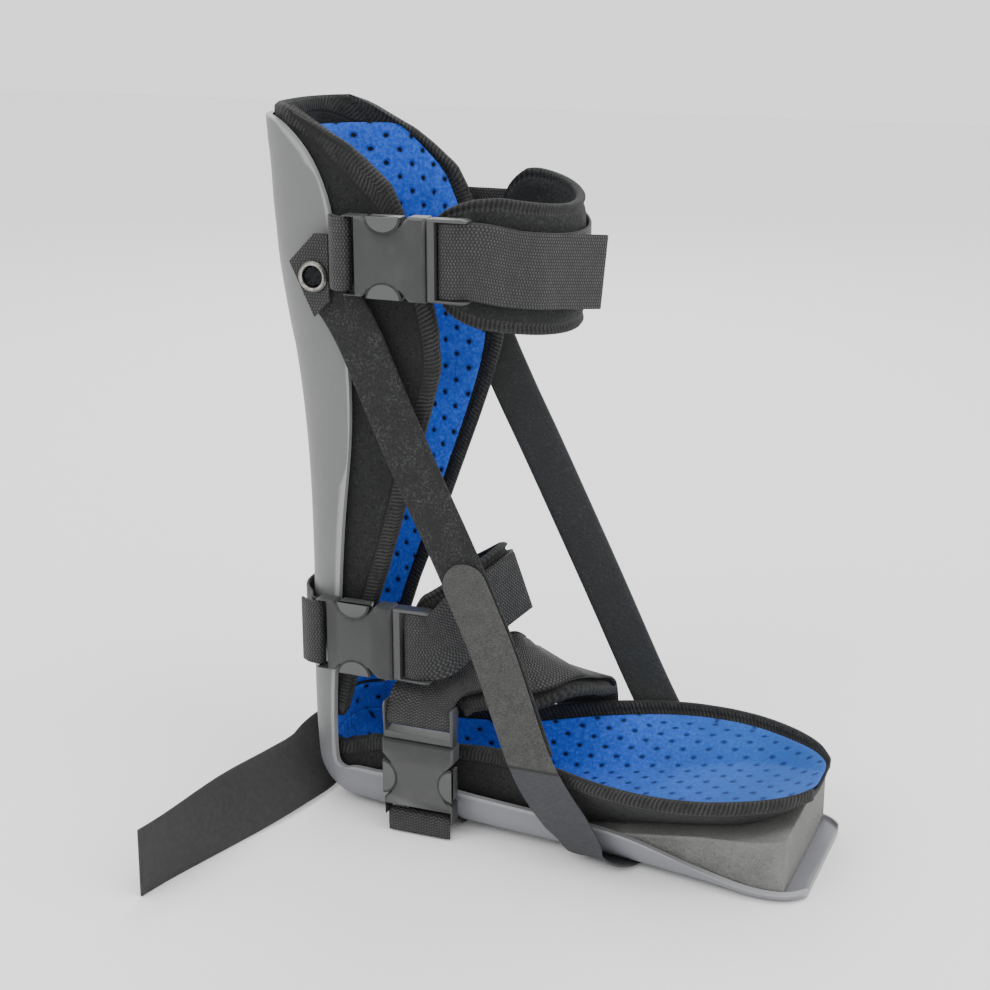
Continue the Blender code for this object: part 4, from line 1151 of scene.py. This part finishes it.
def buildEyelet(settings):
    # A rolled ring, and the dark disc behind its hole, painted shade that closes the hole
    hole, radius, wall = settings["hole"], settings["radius"], settings["wall"]
    low, high = -wall / 2, wall / 2
    profile = [(hole, low * 0.9), (hole, high * 0.55), (hole * 1.07, high * 0.88), (hole * 1.22, high),
               (radius * 0.84, high * 0.9), (radius * 0.96, high * 0.5), (radius, high * 0.12),
               (radius * 0.92, high * 0.05), (hole * 1.12, low * 0.1), (hole * 1.12, low * 0.9)]
    bm = bmesh.new()
    verts = [bm.verts.new((r, 0.0, h)) for r, h in profile]
    edges = [bm.edges.new((verts[i], verts[i - 1])) for i in range(len(verts))]
    bmesh.ops.spin(bm, geom=verts + edges, cent=(0, 0, 0), axis=(0, 0, 1), angle=fullTurn,
                   steps=settings["steps"], use_merge=True, use_duplicate=False)
    bmesh.ops.remove_doubles(bm, verts=bm.verts, dist=0.000001)
    spot = Matrix.Translation(Vector(settings["centre"])) @ Matrix.Rotation(math.pi / 2, 4, "X")
    bmesh.ops.transform(bm, matrix=spot, verts=bm.verts)
    bmesh.ops.recalc_face_normals(bm, faces=bm.faces)
    finish = eyeletFinish("eyeletMetal", settings["bright"], settings["dull"])
    dress(newObject("eyeletRing", bm, finish), "eyelet")
    bm = bmesh.new()
    bmesh.ops.create_cone(bm, cap_ends=True, segments=settings["coreSteps"], radius1=settings["core"],
                          radius2=settings["core"] * settings["coreTaper"], depth=settings["coreDepth"])
    bmesh.ops.bevel(bm, geom=bm.edges[:], offset=settings["coreRounding"], segments=2, profile=0.5,
                    affect="EDGES", material=-1)
    bmesh.ops.transform(bm, matrix=spot, verts=bm.verts)
    holeShadeFinish = eyeletFinish("eyeletHoleShade", settings["holeShadeBright"], settings["holeShadeDull"])
    core = newObject("eyeletHoleShadow", bm, holeShadeFinish)
    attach(core, "root")


# Straps and pads

bandSettings = {
    "upper_webbing": {"startsAt": (0.124, -0.0005, 0.304), "pullFrom": 0.0684, "pull": 0.0022},
    "mid_webbing": {"startsAt": (0.0837, 0.006, 0.155), "pullFrom": 0.0375, "pull": 0.0018, "upright": True},
    "lower_webbing": {"startsAt": (0.090, 0.0195, 0.088)},
    "upper_anchor": {"startsAt": (-0.0027, -0.0564, 0.3166)},
    "mid_anchor": {"startsAt": (-0.0319, -0.0441, 0.1165)},
    "lower_anchor": {"startsAt": (0.033, -0.0493, 0.0012)},
    "near_tension_strap": {"startsAt": (-0.0074, -0.0527, 0.3087), "finish": "loop", "slot": "loop_cloth"},
    "far_tension_strap": {"startsAt": (-0.0074, 0.0543, 0.3087), "finish": "farLoop", "slot": "loop_cloth"},
    "near_hook_strap": {"startsAt": (0.0622, -0.0589, 0.1623), "finish": "hook", "slot": "hook_cloth",
                        "roundStart": True},
    "rear_strap": {"startsAt": (-0.066, -0.165, 0.0132), "finish": "rear"},
}
bandStep = 0.0016
pullOver = 0.005
nearSide = -0.03
padSettings = {"step": 0.0022, "softEnds": 0.006, "wrinkle": 0.0012, "roundEnds": 0.020}
padNodes = {
    "upper_pad": {"startsAt": (0.0529, -0.0558, 0.2976), "finish": "blackPad"},
    "mid_pad": {"startsAt": (0.0304, -0.0335, 0.1275), "finish": "blackPad"},
    "lower_pad": {"startsAt": (0.0310, -0.0350, 0.0733), "finish": "bluePad"},
}


def tidyName(node):
    words = node.split("_")
    return words[0] + "".join(word.capitalize() for word in words[1:])


def pulledStation(station, settings):
    # The turn round the buckle's bar fills the slot
    middle, across, half, wall = station
    share = min(1.0, max(0.0, (settings["pullFrom"] - middle.x) / pullOver)) if middle.y < nearSide else 0.0
    return middle - Vector((settings["pull"] * share, 0.0, 0.0)), across, half, wall


def buildBands(finishes):
    for node, settings in bandSettings.items():
        if settings.get("upright"):
            sections = uprightSections(node, settings["startsAt"])
        else:
            sections = crossSections(node, 4, settings["startsAt"])
        stations = smoothStations(stationsOf(sections), bandStep)
        if settings.get("pull"):
            stations = [pulledStation(station, settings) for station in stations]
        finish = finishes[settings.get("finish", "webbing")]
        piece = sweepBand(tidyName(node), stations, webbingProfile, finish,
                          roundStart=settings.get("roundStart", False))
        dress(piece, node)


def buildPads(finishes, form):
    for node, settings in padNodes.items():
        stations = smoothStations(stationsOf(crossSections(node, 8, settings["startsAt"])), form["step"])
        piece = sweepBand(tidyName(node), stations, padProfile, finishes[settings["finish"]],
                          softEnds=form["softEnds"], wrinkle=form["wrinkle"], roundEnds=form["roundEnds"])
        dress(piece, node)


def padFinish(name, settings, blueInside):
    # Black pile, and on one pad blue lining inside the seam on the face towards the leg
    finish = Finish(name, settings["liner"], 0.95)
    run, side = finish.surface()
    outer = finish.carried("outer")
    fuzz = finish.grain(700.0, 4.0, 0.75)
    tufts = finish.cells(600.0)
    patches = finish.grain(70.0, 3.0, 0.6)
    speck = fuzz.ramp(0.46, 0.70) * patches.ramp(0.3, 0.66, 0.15, 1.0)
    colour = finish.blend(speck, settings["liner"], tuple(c * 1.25 for c in settings["linerFleck"]))
    if blueInside:
        heather = finish.grain(520.0, 4.0, 0.75)
        blue = finish.blend(heather.ramp(0.38, 0.72), settings["blue"], settings["blueLight"])
        inside = (1.0 - outer.ramp(0.12, 0.2)) * (1.0 - side.absolute().ramp(0.011, 0.0125))
        colour = finish.blend(inside, colour, blue)
    stitches = ((run / settings["stitchPitch"]) * fullTurn).sine().ramp(-0.5, 0.6)
    edge = 1.0 - (outer - 0.5).absolute().ramp(0.30, 0.36)
    finish.paint(colour=finish.blend(stitches * edge * 0.45, colour, settings["thread"]))
    finish.bump(fuzz * 0.8 + (1.0 - tufts) * 0.5, 0.0007, 0.95)
    return finish.sheen(settings["pileSheen"], 0.5, settings["pileTint"])


buildStage(stageSettings)
print("stage built")
finishes = {
    "webbing": webbingFinish("strapWebbing", webbingSettings),
    "loop": loopFinish("loopStrip", stripSettings, stripSettings["loopDark"], stripSettings["loopFleck"]),
    "farLoop": loopFinish("farLoopStrip", stripSettings, stripSettings["farDark"], stripSettings["farFleck"]),
    "hook": hookFinish("hookStrip", stripSettings),
    "rear": plainStripFinish("rearStrip", stripSettings),
}
linerPile = pileFinish("linerPile", clothSettings)
buildShell(shellSettings, shellFinish(shellSettings))
buildLiner("liner_calf", "calfLiner", calfLinerSettings, calfRim, linerPile)
buildLiner("liner_foot", "footLiner", footLinerSettings, footRim, linerPile)
calfCloth = liningFinish("calfLiningCloth", clothSettings, False)
buildLining("lining_calf", "calfLining", calfCloth)
buildLining("lining_foot", "footLining", liningFinish("footLiningCloth", clothSettings, True), True)
buildHeelSkirt(heelSkirtSettings, calfCloth)
print("shell and liners built")
buckle = buckleFinish("bucklePlastic", buckleSettings, buckleSettings["black"])
# The prongs get a lighter copy of the buckle plastic, a painted highlight
prong = buckleFinish("prongPlastic", buckleSettings, buckleSettings["prong"])
# Painted shadow in the buckle windows
groove = buckleFinish("groovePlastic", buckleSettings, buckleSettings["groove"])
radius = buckleSettings["edgeRadius"]
for level in ("upper", "mid", "lower"):
    buildHard(level + "_buckle", level + "Buckle", buckle, radius, 2,
              corner=buckleSettings["cornerRadius"], twin="upper_buckle" if level == "mid" else None)
    buildHard(level + "_tongue", level + "Tongue", buckle, radius, 2)
    buildWindows(level, windowSettings, prong, groove)
foam = foamFinish(foamSettings)
buildHard("foam_wedge", "foamWedge", foam, foamSettings["edgeRadius"], 2)
tabWebbing = webbingFinish("tabWebbing", webbingSettings, False)
buildHard("upper_tab", "upperTab", tabWebbing, webbingSettings["tabEdge"], 1)
buildEyelet(eyeletSettings)
print("buckles, wedge and tab built")
buildBands(finishes)
finishes["blackPad"] = padFinish("blackPadCloth", clothSettings, False)
finishes["bluePad"] = padFinish("bluePadCloth", clothSettings, True)
buildPads(finishes, padSettings)
print("straps and pads built")
